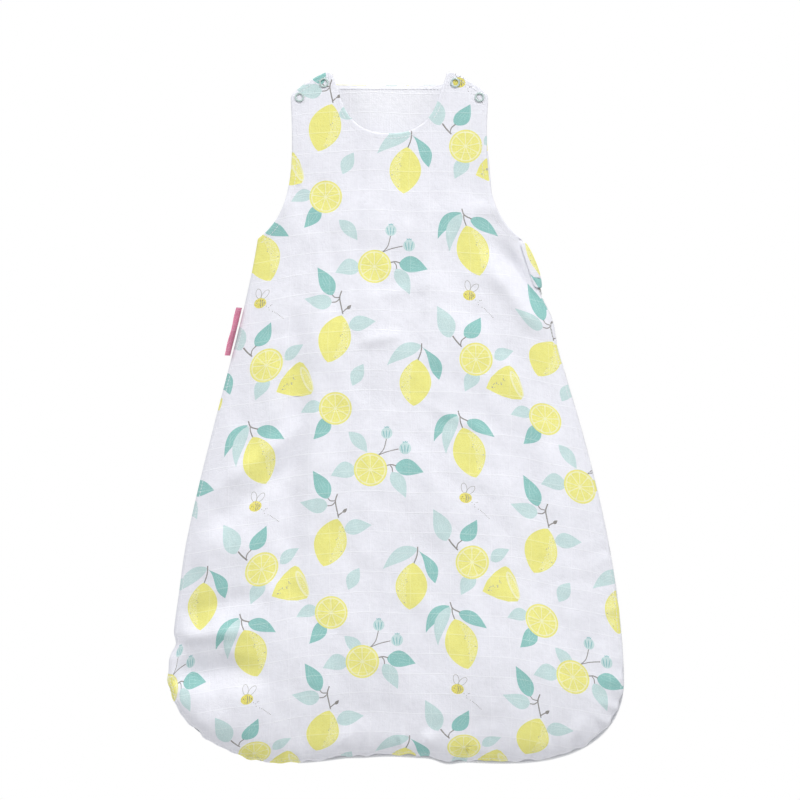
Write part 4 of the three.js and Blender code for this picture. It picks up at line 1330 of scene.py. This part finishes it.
# ---- Poppers ----
def turned(name, profile, centre, facing, key="popper", segments=48):
    """A turned piece from (radius, distance along its axis) points, facing front (-1) or back (1)."""
    profile = np.array(profile, float)
    angles = np.linspace(0, 2 * math.pi, segments, endpoint=False)
    rings, vertices = [], []
    for radius, along in profile:
        rings.append(len(vertices))
        for angle in angles:
            vertices.append((centre[0] + radius * math.cos(angle), centre[1] + facing * along,
                             centre[2] + radius * math.sin(angle)))
    faces = []
    closed = list(range(len(profile))) + [0]
    for a, b in zip(closed[:-1], closed[1:]):
        if profile[a][0] < 0.01 and profile[b][0] < 0.01:
            continue
        faces += [quad if facing < 0 else quad[::-1] for quad in band(rings[a], rings[b], segments)]
    obj = as_object(name, vertices, faces, [key])
    weld = obj.modifiers.new("weld", "WELD")
    weld.merge_threshold = 0.00001
    return obj


def rounded(outline, radius=0.25, steps=3):
    """A closed profile with its corners rounded."""
    points = np.array(outline, float)
    made = []
    for before, here, after in zip(np.roll(points, 1, 0), points, np.roll(points, -1, 0)):
        a, b = before - here, after - here
        r = min(radius, np.hypot(*a) * 0.45, np.hypot(*b) * 0.45)
        start, end = here + a / np.hypot(*a) * r, here + b / np.hypot(*b) * r
        made += list(bezier(start, start + (here - start) * 0.55, end + (here - end) * 0.55, end, steps))
    return np.array(made)


def build_poppers():
    number = 0
    for side_name, side in (("left", -1), ("right", 1)):
        for x, z in POPPERS:
            number += 1
            at = side * x
            parts = (
                ("cap", [(3.1, 0), (4.75, 0), (4.75, 1.1), (3.1, 1.1)], f"tab_{side_name}", -1),
                ("ring", [(1.9, 0), (3.2, 0), (3.2, 0.8), (1.9, 0.8)], "root", 1),
                ("stud", [(0, 0), (3.8, 0), (3.8, 0.8), (1.4, 0.8), (1.4, 2.2), (0, 2.2)], "root", -1),
                ("socket", [(0, 0), (4.2, 0), (4.2, 1.8), (2.6, 1.8), (2.6, 0.5), (0, 0.5)], f"tab_{side_name}", 1),
            )
            for kind, profile, body, facing in parts:
                cad = f"popper_{kind}_{number}"
                low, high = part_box(cad)
                y = (high.y if facing < 0 else low.y) / MM
                outline = rounded(profile, 0.3)
                outline[:, 0] = np.maximum(outline[:, 0], 0)
                fasten(turned(f"{cad}_moulded", outline, (at, y, z), facing), cad, body)


def dress_cad_nodes():
    """CAD pieces that keep their own shape get their moulded nylon."""
    for name in ("zip_slider", "zip_puller"):
        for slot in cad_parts[name].material_slots:
            slot.link = "OBJECT"
            slot.material = material("nylon")


# ---- Camera, light and floor ----
def build_studio():
    camera = bpy.data.objects.new("camera", bpy.data.cameras.new("camera"))
    bpy.context.collection.objects.link(camera)
    distance, width = 2.5, 0.804
    camera.location = (0.0105, -distance, -0.3296)
    camera.rotation_euler = (math.pi / 2, 0, 0)
    camera.data.sensor_width = 36
    camera.data.lens = 36 * distance / width
    bpy.context.scene.camera = camera

    world = bpy.data.worlds.new("studio")
    bpy.context.scene.world = world
    world.use_nodes = True
    tree = world.node_tree
    tree.nodes.clear()
    seen = node(tree, "ShaderNodeBackground", {0: (1, 1, 1, 1), 1: 1.0})
    where = node(tree, "ShaderNodeTexCoord").outputs["Generated"]
    up = node(tree, "ShaderNodeSeparateXYZ", {0: where}).outputs[2]
    strength = map_range(tree, up, (-0.7, 0.7), (0.12, 0.77), interpolation_type="SMOOTHSTEP")
    fill = node(tree, "ShaderNodeBackground", {0: (0.97, 0.98, 1.0, 1), 1: strength})
    by_camera = node(tree, "ShaderNodeLightPath").outputs["Is Camera Ray"]
    pick = node(tree, "ShaderNodeMixShader", {0: by_camera, 1: fill.outputs[0], 2: seen.outputs[0]})
    node(tree, "ShaderNodeOutputWorld", {0: pick.outputs[0]})

    for name, spot, size, power, colour in (
        ("key", (0.5, -1.9, 2.0), 0.8, 48, (1.0, 0.995, 0.985)),
        ("left", (-1.9, -1.2, 0.9), 1.0, 11, (0.97, 0.98, 1.0)),
        ("right", (2.0, -1.1, 0.8), 1.0, 6.5, (0.98, 0.99, 1.0)),
        ("behind", (0.7, 2.3, 0.9), 1.4, 26, (0.98, 0.99, 1.0)),
    ):
        light = bpy.data.lights.new(name, "AREA")
        light.size, light.energy, light.color = size, power, colour
        lamp = bpy.data.objects.new(name, light)
        lamp.location = spot
        lamp.rotation_euler = (Vector((0, 0, -0.35)) - Vector(spot)).to_track_quat("-Z", "Y").to_euler()
        bpy.context.collection.objects.link(lamp)

    radius, z, corners = 1.15, -0.92, 128
    mesh = bpy.data.meshes.new("floor")
    turns = [2 * math.pi * n / corners for n in range(corners)]
    mesh.from_pydata([(radius * math.cos(t), radius * math.sin(t), z) for t in turns], [], [range(corners)])
    floor = bpy.data.objects.new("floor", mesh)
    bpy.context.collection.objects.link(floor)
    mesh.materials.append(new_material("floor", {"Base Color": (0.62, 0.62, 0.62, 1), "Roughness": 0.9})[0])
    bpy.context.scene.view_settings.view_transform = "Standard"


build_studio()
build_front()
for tab_name, tab_side in (("left", -1), ("right", 1)):
    build_tab(tab_name, tab_side)
build_back()
build_zip()
build_guard()
build_label()
build_poppers()
dress_cad_nodes()
